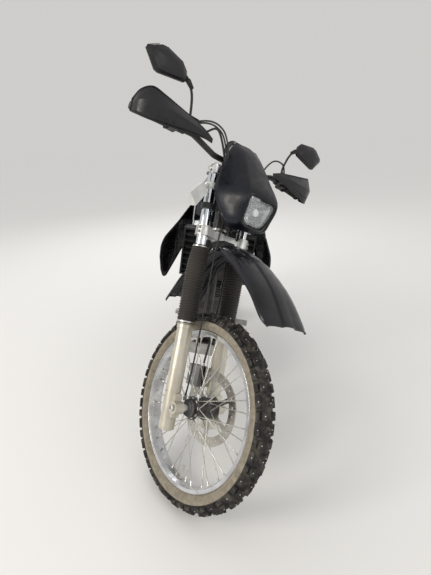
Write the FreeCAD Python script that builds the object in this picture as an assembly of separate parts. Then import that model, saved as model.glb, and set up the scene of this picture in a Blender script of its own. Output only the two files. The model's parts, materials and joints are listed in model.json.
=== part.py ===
# Dual sport motorcycle, leaning on its side stand with the steering on its left stop.
# Every piece is drawn on an upright machine that steers straight ahead, in millimetres:
# +X is the rider's left, the front faces -Y and +Z is up. Pieces of the fork are drawn
# about the front axle, with +Z up along the fork. Last, each gets its parked placement.
import FreeCAD, Part
import math
import os
from types import SimpleNamespace

V = FreeCAD.Vector
PARTS = "parts"

# name, size in mm or degrees
SIZES = [
    # stance
    ("wheelbase", 1490), ("rake", 27.8), ("steer_stop", 43), ("lean", 11.5),
    ("origin_left", -223), ("origin_back", -31),
    # wheels
    ("front_tip_radius", 350), ("front_section", 90), ("front_rim_radius", 280), ("front_rim_width", 52),
    ("rear_tip_radius", 322), ("rear_section", 128), ("rear_rim_radius", 230), ("rear_rim_width", 76),
    ("lug_height", 11), ("lug_count_front", 28), ("lug_count_rear", 24),
    ("rim_wall", 3.5), ("rim_depth", 17), ("spoke_radius", 1.9), ("spoke_count", 36),
    ("axle_radius", 8), ("axle_bore", 5), ("bearing_gap", 0.3),
    ("front_flange_radius", 41), ("front_hub_width", 78), ("front_barrel_radius", 24),
    ("rear_flange_radius", 56), ("rear_hub_width", 92), ("rear_barrel_radius", 34),
    ("front_disc_radius", 135), ("rear_disc_radius", 112), ("disc_thickness", 4), ("disc_band", 34),
    ("front_disc_offset", 58), ("rear_disc_offset", 66), ("sprocket_thickness", 7),
    # fork
    ("fork_half_spacing", 96), ("leg_setback", 38), ("steer_setback", 66), ("tube_radius", 20.5),
    ("slider_radius", 28), ("slider_low", 80), ("gaiter_low", 291), ("gaiter_high", 584),
    ("gaiter_radius", 39), ("gaiter_ribs", 13), ("lower_clamp", 636), ("top_clamp", 867),
    ("clamp_thickness", 32), ("clamp_gap", 0.2), ("steerer_radius", 14), ("head_tube_radius", 27),
    # handlebar
    ("bar_radius", 11.1), ("bar_forward", 45), ("bar_height", 925), ("bar_end_side", 440),
    ("bar_end_height", 965), ("bar_end_back", 88), ("grip_radius", 16.5), ("grip_length", 125),
    # frame and swingarm
    ("pivot_back", 190), ("pivot_height", 400), ("cradle_half", 92), ("cradle_tube", 13),
    ("downtube_radius", 18), ("backbone_radius", 24), ("rail_tube", 11), ("engine_low", 288),
    ("arm_inner", 94), ("arm_outer", 112), ("arm_height", 52),
    # drive
    ("chain_offset", 80), ("chain_pitch", 15.875), ("front_teeth", 15), ("rear_teeth", 43),
    ("chain_width", 15), ("roller_radius", 5.1), ("plate_half_height", 7.2),
    ("sprocket_back", 100), ("sprocket_height", 405),
    # bodywork
    ("panel", 4), ("tank_half", 118), ("tank_top", 1075), ("seat_half", 112), ("seat_height", 890),
    # side stand
    ("stand_side", 128), ("stand_back", 72), ("stand_height", 236), ("stand_tube", 11),
    ("foot_side", 300), ("foot_back", 20), ("foot_radius", 27), ("stand_fold", 101),
]

doc = FreeCAD.newDocument("DualSport")
sheet = doc.addObject("Spreadsheet::Sheet", "Sizes")
for row, (alias, number) in enumerate(SIZES, start=1):
    sheet.set(f"A{row}", alias)
    sheet.set(f"B{row}", str(number))
    sheet.setAlias(f"B{row}", alias)
doc.recompute()
S = SimpleNamespace(**{alias: float(getattr(sheet, alias)) for alias, number in SIZES})
S.lug_count_front = int(S.lug_count_front)
S.lug_count_rear = int(S.lug_count_rear)
S.spoke_count = int(S.spoke_count)


# Places

def turned(axis, degrees, at=V(0, 0, 0)):
    return FreeCAD.Placement(V(0, 0, 0), FreeCAD.Rotation(axis, degrees), at)


def moved(x, y, z):
    return FreeCAD.Placement(V(x, y, z), FreeCAD.Rotation())


RAKE = math.radians(S.rake)
FORK_UP = V(0, math.sin(RAKE), math.cos(RAKE))
FORK_BACK = V(0, math.cos(RAKE), -math.sin(RAKE))
FRONT_AXLE = V(0, -S.wheelbase / 2, S.front_tip_radius)
REAR_AXLE = V(0, S.wheelbase / 2, S.rear_tip_radius)
STEER_BASE = FRONT_AXLE + FORK_BACK * S.steer_setback
STRAIGHT = moved(*FRONT_AXLE) * turned(V(1, 0, 0), -S.rake)
STEERED = turned(FORK_UP, S.steer_stop, STEER_BASE) * STRAIGHT


def tyre_foot(placement, tip_radius, section):
    """Height of the lowest point of a tyre whose tread is round across."""
    tilt = placement.Rotation.multVec(V(1, 0, 0)).z
    crown = section / 2
    return placement.Base.z - (tip_radius - crown) * math.sqrt(1 - tilt ** 2) - crown


def parked():
    """The leaning machine, pitched and lowered until both tyres meet the floor."""
    place = turned(V(0, 1, 0), S.lean)
    for step in range(4):
        front = tyre_foot(place * STEERED, S.front_tip_radius, S.front_section)
        rear = tyre_foot(place * moved(*REAR_AXLE), S.rear_tip_radius, S.rear_section)
        pitch = math.degrees(math.atan((front - rear) / S.wheelbase))
        place = moved(0, 0, -(front + rear) / 2) * turned(V(1, 0, 0), pitch) * place
    return moved(S.origin_left, S.origin_back, 0) * place


PARKED = parked()
PLACES = {
    "body": PARKED,
    "fork": PARKED * STEERED,
    "rear": PARKED * moved(*REAR_AXLE),
}
nodes = []


def node(label, shape_or_object, place):
    """Name a sub-part and put it in its parked place."""
    piece = shape_or_object
    if isinstance(piece, Part.Shape):
        piece = doc.addObject("Part::Feature", label)
        piece.Shape = Part.makeCompound(shape_or_object.Solids)
    piece.Label = label
    piece.Placement = PLACES[place]
    nodes.append(piece)
    return piece


# Shapes

def rod(start, end, radius):
    run = end - start
    return Part.makeCylinder(radius, run.Length, start, run)


def ring(start, end, radius, bore):
    return rod(start, end, radius).cut(rod(start, end, bore))


def box(low, high):
    return Part.makeBox(high.x - low.x, high.y - low.y, high.z - low.z, low)


def fuse(shapes):
    whole = shapes[0].multiFuse(shapes[1:]) if len(shapes) > 1 else shapes[0]
    return whole.removeSplitter()


def mirrored(shape):
    return shape.mirror(V(0, 0, 0), V(1, 0, 0))


def pair(shape):
    return Part.makeCompound([shape, mirrored(shape)])


def bent_wire(points, bend):
    """Straight runs joined by tangent arcs of one radius."""
    edges = []
    start = points[0]
    for before, corner, after in zip(points, points[1:], points[2:]):
        into = (before - corner).normalize()
        out = (after - corner).normalize()
        half = into.getAngle(out) / 2
        reach = bend / math.tan(half)
        middle = (into + out).normalize() * (bend / math.sin(half) - bend)
        a, b = corner + into * reach, corner + out * reach
        edges += [Part.LineSegment(start, a).toShape(), Part.Arc(a, corner + middle, b).toShape()]
        start = b
    edges.append(Part.LineSegment(start, points[-1]).toShape())
    return Part.Wire(edges)


def tube(points, radius, bend=60, bore=None):
    path = bent_wire(points, bend)
    run = points[1] - points[0]

    def swept(r):
        circle = Part.Wire(Part.makeCircle(r, points[0], run))
        return path.makePipeShell([circle], True, False)
    solid = swept(radius)
    return solid.cut(swept(bore)) if bore else solid


def polygon(points):
    return Part.makePolygon(points + [points[0]])


def prism(points, along):
    return Part.Face(polygon(points)).extrude(along)


def loft(sections, ruled=True):
    return Part.makeLoft([polygon(points) for points in sections], True, ruled)


def revolved(profile):
    """Turn a profile of (across, radius) points about the X axis."""
    face = Part.Face(polygon([V(across, radius, 0) for across, radius in profile]))
    return face.revolve(V(0, 0, 0), V(1, 0, 0), 360)


def around(shape, count, start=0):
    """Copies of a shape turned about the X axis."""
    copies = []
    for index in range(count):
        copy = shape.copy()
        copy.rotate(V(0, 0, 0), V(1, 0, 0), start + index * 360 / count)
        copies.append(copy)
    return copies


# Wheels

def tyre(label, place, tip, section, rim_radius, rim_width, count):
    """A carcass and five staggered rows of lugs whose tips lie on one round crown."""
    crown = section / 2
    middle = tip - crown
    inside = rim_width / 2 - S.rim_wall - 0.3
    low = [(-inside, rim_radius - 8.7), (-inside, rim_radius + 1), (-crown * 0.8, rim_radius + 12),
           (-crown * 0.9, middle - 6)]
    under = crown - S.lug_height + 1
    low += [(-under * math.sin(math.radians(turn)), middle + under * math.cos(math.radians(turn)))
            for turn in (62, 30)]
    carcass = revolved(low + [(-across, radius) for across, radius in reversed(low)])
    long = 2 * math.pi * tip / count * 0.44
    lugs = []
    # turn round the crown in degrees, step round the wheel in lugs, share of the section's width
    for turn, step, share in [(0, 0, 0.24), (31, 0.5, 0.22), (-31, 0.5, 0.22), (62, 0, 0.17), (-62, 0, 0.17)]:
        wide = section * share
        top = math.sqrt(crown ** 2 - (wide / 2) ** 2)
        lug = Part.makeBox(wide, long, S.lug_height + 5, V(-wide / 2, -long / 2, top - S.lug_height - 5))
        lug.rotate(V(0, 0, 0), V(0, 1, 0), turn)
        lug.translate(V(0, 0, middle))
        lugs += around(lug, count, step * 360 / count)
    return node(label, carcass.multiFuse(lugs), place)


def rim(label, place, radius, width):
    """A drop-centre rim with two flanges."""
    half = width / 2
    well = radius - S.rim_depth
    wall = S.rim_wall
    outer = [(-half, radius), (-half, well + 4), (-half * 0.5, well - wall), (half * 0.5, well - wall),
             (half, well + 4), (half, radius)]
    inner = [(half - wall, radius), (half - wall, radius - 9), (half * 0.45, well),
             (-half * 0.45, well), (-half + wall, radius - 9), (-half + wall, radius)]
    return node(label, revolved(outer + inner), place)


def hub(label, place, width, flange, barrel, right, left):
    """A spool hub with two spoke flanges; right and left are (face, boss radius)."""
    half = width / 2
    bore = S.axle_radius + S.bearing_gap
    profile = [(right[0], bore), (right[0], right[1]), (-half + 8, right[1]),
               (-half + 9, flange), (-half + 14, flange), (-half + 22, barrel), (half - 22, barrel),
               (half - 14, flange), (half - 9, flange), (half - 8, left[1]), (left[0], left[1]), (left[0], bore)]
    return node(label, revolved(profile), place)


def spokes(label, place, width, flange, rim_radius, rim_width):
    """Crossed spokes, half from each flange, held at flange and rim."""
    made = []
    per_side = S.spoke_count // 2
    reach = rim_radius - S.rim_depth - S.rim_wall
    for index in range(S.spoke_count):
        side = 1 if index % 2 else -1
        lean = 34 if (index // 2) % 2 else -34
        at_rim = math.radians(index * 360 / S.spoke_count)
        at_hub = at_rim + math.radians(lean)
        inner = V(side * (width / 2 - 11.5), (flange - 6) * math.cos(at_hub), (flange - 6) * math.sin(at_hub))
        outer = V(side * rim_width * 0.1, reach * math.cos(at_rim), reach * math.sin(at_rim))
        made.append(rod(inner, outer, S.spoke_radius))
    return node(label, Part.makeCompound(made), place)


def disc(label, place, offset, radius, holes):
    """A brake disc: braking band, arms and centre ring, drilled through."""
    thick = S.disc_thickness
    band = rod(V(offset, 0, 0), V(offset + thick, 0, 0), radius)
    band = band.cut(rod(V(offset, 0, 0), V(offset + thick, 0, 0), radius - S.disc_band))
    centre = ring(V(offset, 0, 0), V(offset + thick, 0, 0), 52, 33)
    arm = box(V(offset, -9, 45), V(offset + thick, 9, radius - S.disc_band + 4))
    hole = rod(V(offset - 1, 0, radius - S.disc_band / 2), V(offset + thick + 1, 0, radius - S.disc_band / 2), 4)
    whole = fuse([band, centre] + around(arm, 6))
    return node(label, whole.cut(Part.makeCompound(around(hole, holes, 15))), place)


def wheels():
    front = (S.front_rim_radius, S.front_rim_width)
    rear = (S.rear_rim_radius, S.rear_rim_width)
    tyre("front_tyre", "fork", S.front_tip_radius, S.front_section, *front, S.lug_count_front)
    rim("front_rim", "fork", *front)
    hub("front_hub", "fork", S.front_hub_width, S.front_flange_radius, S.front_barrel_radius,
        (-S.front_hub_width / 2, 28), (S.front_disc_offset, 37))
    spokes("front_spokes", "fork", S.front_hub_width, S.front_flange_radius, *front)
    disc("front_disc", "fork", S.front_disc_offset, S.front_disc_radius, 24)
    tyre("rear_tyre", "rear", S.rear_tip_radius, S.rear_section, *rear, S.lug_count_rear)
    rim("rear_rim", "rear", *rear)
    hub("rear_hub", "rear", S.rear_hub_width, S.rear_flange_radius, S.rear_barrel_radius,
        (-S.rear_disc_offset, 40), (S.chain_offset - S.sprocket_thickness / 2, 50))
    spokes("rear_spokes", "rear", S.rear_hub_width, S.rear_flange_radius, *rear)
    disc("rear_disc", "rear", -S.rear_disc_offset - S.disc_thickness, S.rear_disc_radius, 20)
    rear_sprocket()


def sprocket_plate(teeth, offset, thickness, bore):
    """A sprocket about the X axis, its tooth gaps cut on the pitch circle."""
    pitch_radius = S.chain_pitch / (2 * math.sin(math.pi / teeth))
    plate = ring(V(offset - thickness / 2, 0, 0), V(offset + thickness / 2, 0, 0), pitch_radius + 4, bore)
    gap = rod(V(offset - thickness, 0, pitch_radius), V(offset + thickness, 0, pitch_radius), S.roller_radius + 0.4)
    return plate.cut(Part.makeCompound(around(gap, teeth)))


def rear_sprocket():
    plate = sprocket_plate(int(S.rear_teeth), S.chain_offset, S.sprocket_thickness, 33)
    hole = rod(V(S.chain_offset - 8, 0, 78), V(S.chain_offset + 8, 0, 78), 15)
    return node("rear_sprocket", plate.cut(Part.makeCompound(around(hole, 8))), "rear")


# Steering, drawn about the front axle: -Y is ahead of it and +Z up along the fork

def clamp_plate(middle, thickness, slim):
    """One triple clamp: two leg bosses and the steerer boss joined by arms."""
    low, high = middle - thickness / 2, middle + thickness / 2
    leg_x, leg_y, stem_y = S.fork_half_spacing, S.leg_setback, S.steer_setback
    boss = S.tube_radius + 8.5
    whole = [rod(V(0, stem_y, low), V(0, stem_y, high), 24)]
    for side in (-1, 1):
        whole.append(rod(V(side * leg_x, leg_y, low), V(side * leg_x, leg_y, high), boss))
        arm = [V(0, stem_y - 20, low + slim), V(side * leg_x, leg_y - 18, low + slim),
               V(side * leg_x, leg_y + 16, low + slim), V(0, stem_y + 20, low + slim)]
        whole.append(prism(arm, V(0, 0, thickness - 2 * slim)))
    solid = fuse(whole)
    for side in (-1, 1):
        bore = rod(V(side * leg_x, leg_y, low - 1), V(side * leg_x, leg_y, high + 1), S.tube_radius + S.clamp_gap)
        slot = box(V(min(side * (leg_x + 15), side * (leg_x + 40)), leg_y - 1, low - 1),
                   V(max(side * (leg_x + 15), side * (leg_x + 40)), leg_y + 1, high + 1))
        solid = solid.cut(bore).cut(slot)
    return solid


def triple_clamps():
    thick = S.clamp_thickness
    lower = clamp_plate(S.lower_clamp, thick + 4, 4)
    upper = clamp_plate(S.top_clamp, thick - 4, 4)
    stem = rod(V(0, S.steer_setback, S.lower_clamp - thick / 2), V(0, S.steer_setback, S.top_clamp + 26),
               S.steerer_radius)
    nut = rod(V(0, S.steer_setback, S.top_clamp + 10), V(0, S.steer_setback, S.top_clamp + 24), 17)
    risers = []
    bar_y = -S.bar_forward + 90
    for side in (-1, 1):
        x = side * 46
        foot = V(x - 13, bar_y - 17, S.top_clamp + 8)
        risers.append(box(foot, V(x + 13, bar_y + 17, S.bar_height + 19)))
    whole = fuse([lower, upper, stem, nut] + risers)
    bar = rod(V(-120, bar_y, S.bar_height), V(120, bar_y, S.bar_height), S.bar_radius + S.clamp_gap)
    split = box(V(-90, bar_y - 30, S.bar_height - 0.6), V(90, bar_y + 30, S.bar_height + 0.6))
    split = split.cut(box(V(-90, bar_y - 5, S.bar_height - 2), V(90, bar_y + 60, S.bar_height + 2)))
    return node("triple_clamps", whole.cut(bar).cut(split), "fork")


def fork_leg_axis(side, low, high):
    return V(side * S.fork_half_spacing, S.leg_setback, low), V(side * S.fork_half_spacing, S.leg_setback, high)


def fork_tubes():
    made = [rod(*fork_leg_axis(side, S.gaiter_low + 12, S.top_clamp + 22), S.tube_radius) for side in (-1, 1)]
    return node("fork_tubes", Part.makeCompound(made), "fork")


def fork_gaiters():
    """Bellows with a plain collar at each end, clear of the tube inside."""
    step = (S.gaiter_high - S.gaiter_low - 30) / S.gaiter_ribs
    bore = S.slider_radius + 0.3
    profile = [(S.gaiter_low, bore), (S.gaiter_low, bore + 5), (S.gaiter_low + 15, bore + 5)]
    for index in range(int(S.gaiter_ribs)):
        height = S.gaiter_low + 15 + index * step
        profile += [(height + step / 2, S.gaiter_radius), (height + step, S.gaiter_radius - 7)]
    profile += [(S.gaiter_high, S.tube_radius + 5), (S.gaiter_high, S.tube_radius + 0.3),
                (S.gaiter_high - 15, S.tube_radius + 0.3), (S.gaiter_high - 20, bore)]
    bellows = revolved(profile)
    bellows.rotate(V(0, 0, 0), V(0, 1, 0), -90)
    bellows.translate(V(S.fork_half_spacing, S.leg_setback, 0))
    return node("fork_gaiters", pair(bellows), "fork")


def fork_legs():
    """Lower legs with leading axle bosses; the left one has the caliper lugs."""
    made = []
    for side in (-1, 1):
        leg = rod(*fork_leg_axis(side, -S.slider_low, S.gaiter_low + 40), S.slider_radius)
        foot = rod(*fork_leg_axis(side, -S.slider_low - 5, -S.slider_low), S.slider_radius - 8)
        x = side * S.fork_half_spacing
        axle_boss = rod(V(x - 19, 0, 0), V(x + 19, 0, 0), 22)
        web = box(V(x - 15, 0, -34), V(x + 15, S.leg_setback, 46))
        parts = [leg, foot, axle_boss, web]
        if side > 0:
            lug = S.front_disc_offset + S.disc_thickness / 2 + 10.3
            parts.append(box(V(lug, S.leg_setback, 66), V(x - 8, S.leg_setback + 62, 80)))
            parts.append(box(V(lug, S.leg_setback, 124), V(x - 8, S.leg_setback + 62, 138)))
        solid = fuse(parts)
        bore = rod(*fork_leg_axis(side, -S.slider_low + 30, S.gaiter_low + 50), S.tube_radius + 0.3)
        axle = rod(V(x - 40, 0, 0), V(x + 40, 0, 0), S.axle_radius + 0.1)
        made.append(solid.cut(bore).cut(axle))
    return node("fork_legs", Part.makeCompound(made), "fork")


def front_axle():
    reach = S.fork_half_spacing + 19
    whole = [rod(V(-reach - 3, 0, 0), V(reach + 3, 0, 0), S.axle_radius),
             rod(V(reach, 0, 0), V(reach + 12, 0, 0), 13)]
    for start, end in [(-S.fork_half_spacing + 19, -S.front_hub_width / 2 - S.bearing_gap),
                       (S.front_disc_offset + S.bearing_gap, S.fork_half_spacing - 19)]:
        whole.append(rod(V(start, 0, 0), V(end, 0, 0), 14))
    solid = fuse(whole)
    return node("front_axle", solid.cut(rod(V(-reach - 10, 0, 0), V(reach + 30, 0, 0), S.axle_bore)), "fork")


def bar_points():
    """The handlebar's corners from one end to the other."""
    bar_y = 90 - S.bar_forward
    half = [V(110, bar_y, S.bar_height), V(215, bar_y + 4, S.bar_end_height - 4),
            V(S.bar_end_side, S.bar_end_back, S.bar_end_height)]
    return [V(-p.x, p.y, p.z) for p in reversed(half)] + half


def bar_at(distance):
    """A point on the straight outer stretch, this far in from the left end."""
    corner, end = bar_points()[-2], bar_points()[-1]
    return end + (corner - end).normalize() * distance


def handlebar():
    return node("handlebar", tube(bar_points(), S.bar_radius, 55, S.bar_radius - 2), "fork")


def grips():
    outer, inner = bar_at(2), bar_at(S.grip_length)
    flange = bar_at(S.grip_length - 5)
    solid = rod(outer, inner, S.grip_radius).fuse(rod(flange, inner, S.grip_radius + 7))
    bore = rod(bar_at(0), bar_at(S.grip_length + 5), S.bar_radius + 0.2)
    return node("grips", pair(solid.cut(bore)), "fork")


def hand_controls():
    """Switch housings, perches and levers; the right one has the brake reservoir."""
    core = rod(bar_at(S.grip_length + 4), bar_at(S.grip_length + 42), 21)
    perch = rod(bar_at(S.grip_length + 42), bar_at(S.grip_length + 68), 16)
    middle = bar_at(S.grip_length + 55)
    arm = box(middle + V(-22, -34, -9), middle + V(14, 0, 9))
    tip = bar_at(6)
    lever = [(middle.x - 6, middle.y - 36), (middle.x + 24, middle.y - 37), (tip.x, tip.y - 42),
             (tip.x, tip.y - 31), (middle.x + 24, middle.y - 25), (middle.x - 6, middle.y - 22)]
    blade = prism([V(x, y, middle.z - 4) for x, y in lever], V(0, 0, 8))
    bore = rod(bar_at(S.grip_length), bar_at(S.grip_length + 90), S.bar_radius + 0.3)
    side = fuse([core, perch, arm, blade]).cut(bore)
    tank = box(middle + V(-4, -38, 9), middle + V(34, -4, 36))
    return node("hand_controls", Part.makeCompound([side, mirrored(side.fuse(tank).cut(bore))]), "fork")


def handguards():
    """Bowed deflectors that stand ahead of the levers, open at the back."""
    end = bar_at(0)
    out, wall = S.bar_end_side + 15, S.panel
    plan = [(215, -6), (300, 4), (390, 12), (out - 12, 30), (out, 62), (out, end.y + 8)]
    heights = [(950, 985), (925, 1010), (905, 1030), (910, 1035), (930, 1000), (945, 985)]

    def section(index, inset):
        (x, y), (low, high) = plan[index], heights[index]
        return [V(x, y, low), V(x - inset[0], y + inset[1], low), V(x - inset[0], y + inset[1], high), V(x, y, high)]
    insets = [(0, wall), (0, wall), (0.8, wall), (wall * 0.8, wall * 0.6), (wall, 0), (wall, 0)]
    shell = loft([section(index, insets[index]) for index in range(len(plan))])
    away = (end - bar_at(10)).normalize()
    bolt = rod(end + away * 0.3, end + away * (out - wall / 2 - end.x), 7)
    lug = box(V(out - wall - 1, end.y - 9, end.z - 9), V(out, end.y + 9, end.z + 9))
    return node("handguards", pair(fuse([shell, bolt, lug])), "fork")


def mirrors():
    """Stems rising from the perches to five-sided mirror heads."""
    foot = bar_at(S.grip_length + 55) + V(-14, -24, 9.3)
    stem = tube([foot, foot + V(-2, -2, 50), V(262, 18, 1072), V(300, 14, 1118), V(334, 14, 1124)], 5, 20)
    face = [V(312, 22, 1092), V(330, 22, 1162), V(400, 22, 1174), V(476, 22, 1150), V(462, 22, 1096),
            V(386, 22, 1076)]
    back = [V(330 + (p.x - 330) * 0.82, 2, 1124 + (p.z - 1124) * 0.78) for p in face]
    head = loft([face, back])
    return node("mirrors", pair(fuse([stem, head])), "fork")


def instruments():
    """Two round dials in one hood above the bar, on two arms from the top clamp."""
    deck = S.top_clamp + S.clamp_thickness / 2 - 2 + 0.3
    made = [box(V(-68, 0, 938), V(68, 22, 986))]
    for x in (-36, 36):
        made.append(rod(V(x, 18, 971), V(x, 32, 979), 28))
    for x in (-25, 25):
        made.append(box(V(x - 5, 2, deck), V(x + 5, 58, deck + 4)))
        made.append(box(V(x - 5, 2, deck), V(x + 5, 8, 940)))
    return node("instruments", fuse(made), "fork")


def mask_section(level, half, front, rear_half, rear, inset=0):
    """One level of the lamp mask: half width and reach at its front and rear edges."""
    return [V(-rear_half + inset, -rear, level), V(-half + inset, -front + inset, level),
            V(half - inset, -front + inset, level), V(rear_half - inset, -rear, level)]


def headlamp_mask():
    # height, half width in front, reach in front, half width at the rear, reach at the rear
    rows = [(651, 26, 84, 60, 60), (676, 70, 122, 92, 62), (772, 80, 150, 128, 20), (860, 62, 98, 108, 8),
            (950, 43, 45, 82, 6), (985, 34, 12, 60, 2)]
    outer = loft([mask_section(*row) for row in rows])
    inner = loft([mask_section(level, half, front, rear_half, rear - 5, S.panel)
                  for level, half, front, rear_half, rear in rows])
    gap = S.clamp_gap
    window = prism([V(-68 - gap, -200, 685 - gap), V(68 + gap, -200, 685 - gap), V(71 + gap, -200, 765 + gap),
                    V(-71 - gap, -200, 765 + gap)], V(0, 110, 0))
    return node("headlamp_mask", outer.cut(inner).cut(window), "fork")


def headlamp():
    """The lamp body behind its lens, on a bracket from the fork tubes."""
    lens = loft([[V(-68, -116, 685), V(68, -116, 685), V(71, -136, 765), V(-71, -136, 765)],
                 [V(-50, -50, 700), V(50, -50, 700), V(50, -60, 755), V(-50, -60, 755)]])
    stay = box(V(-75, -58, 716), V(75, -46, 740))
    ears = [box(V(side * 75 - 6, -58, 716), V(side * 75 + 6, 20, 740)) for side in (-1, 1)]
    rings = [ring(V(side * S.fork_half_spacing, S.leg_setback, 716), V(side * S.fork_half_spacing, S.leg_setback, 740),
                  S.tube_radius + 5, S.tube_radius + S.clamp_gap) for side in (-1, 1)]
    links = [box(V(min(side * 70, side * 81), 8, 716), V(max(side * 70, side * 81), 22, 740)) for side in (-1, 1)]
    whole = fuse([lens, stay] + ears + rings + links)
    for side in (-1, 1):
        whole = whole.cut(rod(*fork_leg_axis(side, 700, 760), S.tube_radius + S.clamp_gap))
    return node("headlamp", whole, "fork")


def front_fender():
    """A high fender with a raised centre ridge and turned-down sides."""
    # reach ahead of the axle, height, half width, depth of the sides
    rows = [(-232, 392, 82, 22), (-150, 500, 74, 24), (-88, 556, 54, 22), (4, 594, 54, 22), (56, 592, 74, 24),
            (110, 574, 84, 26), (180, 536, 92, 28), (270, 454, 98, 26), (338, 362, 103, 18), (356, 332, 100, 10)]

    def section(reach, height, half, depth, drop):
        slope = V(0, -reach, height)
        down = slope * (1 / slope.Length) * -1
        top = V(0, -reach, height) + down * drop
        points = [V(-half + drop, 0, 0) + top + down * (depth - drop), V(-half + drop + 5, 0, 0) + top + down * 4,
                  V(-22, 0, 0) + top, V(-16, 0, 0) + top - down * 7, V(16, 0, 0) + top - down * 7,
                  V(22, 0, 0) + top, V(half - drop - 5, 0, 0) + top + down * 4,
                  V(half - drop, 0, 0) + top + down * (depth - drop)]
        return points

    def slice_of(row):
        upper = section(*row, 0)
        lower = section(*row, S.panel)
        return upper + list(reversed(lower))
    shell = loft([slice_of(row) for row in rows])
    mount = box(V(-30, -10, 590), V(30, 60, S.lower_clamp - S.clamp_thickness / 2 - 2.3))
    return node("front_fender", fuse([shell, mount]), "fork")


def front_indicators():
    """Clear lamps on stalks that are banded to the fork tubes."""
    level = 805
    x, y = S.fork_half_spacing, S.leg_setback
    band = ring(V(x, y, level - 11), V(x, y, level + 11), S.tube_radius + 6, S.tube_radius + S.clamp_gap)
    stalk = rod(V(x + 24, y - 4, level), V(150, 22, 776), 9)
    lamp = loft([[V(132, 8, 770), V(158, 8, 800), V(206, 8, 742), V(172, 8, 705)],
                 [V(136, 50, 768), V(158, 50, 792), V(196, 50, 744), V(170, 50, 712)]])
    bore = rod(V(x, y, level - 20), V(x, y, level + 20), S.tube_radius + S.clamp_gap)
    return node("front_indicators", pair(fuse([band, stalk, lamp]).cut(bore)), "fork")


def front_caliper():
    """A sliding caliper that straddles the disc behind the left leg."""
    x = S.front_disc_offset + S.disc_thickness / 2
    low, high, near = 62, 142, S.leg_setback + 34
    reach = math.sqrt(S.front_disc_radius ** 2 - low ** 2)
    body = box(V(x - 24, near, low), V(x + 10, reach + 20, high))
    gap = box(V(x - 5, near - 1, low - 1), V(x + 5, reach + 6, high + 1))
    return node("front_caliper", body.cut(gap), "fork")


def steering():
    triple_clamps()
    fork_tubes()
    fork_gaiters()
    fork_legs()
    front_axle()
    handlebar()
    grips()
    hand_controls()
    handguards()
    mirrors()
    instruments()
    headlamp_mask()
    headlamp()
    front_fender()
    front_indicators()
    front_caliper()


# Frame and engine, drawn about the middle of the wheelbase on the floor

def steer_axis(height):
    """The point of the steering axis at this height along the fork."""
    return STEER_BASE + FORK_UP * height


BACKBONE = [STEER_BASE + FORK_UP * 800, V(0, -60, 930), V(0, 95, 800), V(0, 118, 740)]


def frame():
    """Head tube, backbone, down tube, cradle, pivot plates and seat rails."""
    head_low, head_high = steer_axis(S.lower_clamp + 24), steer_axis(S.top_clamp - 18)
    pivot = V(0, S.pivot_back, S.pivot_height)
    half, low, thin = S.cradle_half, S.engine_low - S.cradle_tube - 0.3, S.rail_tube
    head = rod(head_low, head_high, S.head_tube_radius)
    backbone = tube(BACKBONE, S.backbone_radius, 120)
    downtube = tube([steer_axis(740), V(0, -300, 700), V(0, -262, 400), V(0, -240, 350)], S.downtube_radius, 60)
    parts = [head, backbone, downtube]
    for side in (-1, 1):
        cradle = [V(0, -246, 372), V(side * half, -215, low), V(side * half, 120, low), V(side * 108, 182, 330)]
        parts.append(tube(cradle, S.cradle_tube, 28))
        upright = [V(side * 108, 194, 450), V(side * 106, 190, 500), V(side * 62, 150, 700), V(0, 118, 742)]
        parts.append(tube(upright, S.cradle_tube, 26))
        rail = [V(side * 20, 96, 785), V(side * 85, 170, 812), V(side * 95, 500, 822), V(side * 78, 800, 862)]
        parts.append(tube(rail, thin, 40))
        parts.append(rod(V(side * 108, 204, 480), V(side * 94, 510, 812), thin))
        plate = [V(side * 102, 150, 330), V(side * 102, 200, 304), V(side * 102, 215, 340), V(side * 102, 215, 480),
                 V(side * 102, 180, 500), V(side * 102, 152, 430)]
        parts.append(prism(plate, V(side * 12, 0, 0)))
        near, far = sorted((side * half, side * 116))
        parts.append(box(V(near, 45, low - 8), V(far, 120, 312)))
    parts.append(rod(V(-90, 640, 842), V(90, 640, 842), thin))
    parts.append(rod(V(-62, 150, 700), V(62, 150, 700), 10))
    hinge, axis = stand_hinge()
    inner = hinge - axis * 20
    up = V(half, S.stand_back, low) - inner
    up = (up - axis * up.dot(axis)).normalize()
    wide = axis.cross(up) * 15
    lug = prism([inner - wide, inner + wide, inner + wide + up * 44, inner - wide + up * 44], axis * 8.5)
    parts += [lug, rod(inner, inner + axis * 8.5, 15), rod(inner, hinge + axis * 12, 6)]
    whole = fuse(parts)
    bore = rod(steer_axis(600), steer_axis(900), S.steerer_radius + S.bearing_gap)
    pin = rod(pivot - V(150, 0, 0), pivot + V(150, 0, 0), 10)
    return node("frame", whole.cut(bore).cut(pin), "body")


def swingarm():
    """Pivot tube, two tapering arms with axle ends, and the cross member that carries the shock."""
    pivot = V(0, S.pivot_back, S.pivot_height)
    axle = REAR_AXLE
    parts = [rod(pivot - V(101.7, 0, 0), pivot + V(101.7, 0, 0), 22)]
    tall = S.arm_height / 2
    # back, height of the middle, half height, outer side
    rows = [(pivot.y - 4, pivot.z, 20, 99), (232, pivot.z - 2, 22, 99), (300, 392, tall, S.arm_outer),
            (axle.y + 40, axle.z, 20, S.arm_outer)]
    for side in (-1, 1):
        sections = []
        for back, height, half, outer in rows:
            inner = side * S.arm_inner
            sections.append([V(inner, back, height - half), V(side * outer, back, height - half),
                             V(side * outer, back, height + half), V(inner, back, height + half)])
        parts.append(loft(sections))
    parts.append(box(V(-S.arm_inner, 255, 376), V(S.arm_inner, 300, 406)))
    whole = fuse(parts)
    whole = whole.cut(rod(axle - V(150, 0, 0), axle + V(150, 0, 0), S.axle_radius + 0.1))
    return node("swingarm", whole.cut(rod(pivot - V(150, 0, 0), pivot + V(150, 0, 0), 10)), "body")


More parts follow.
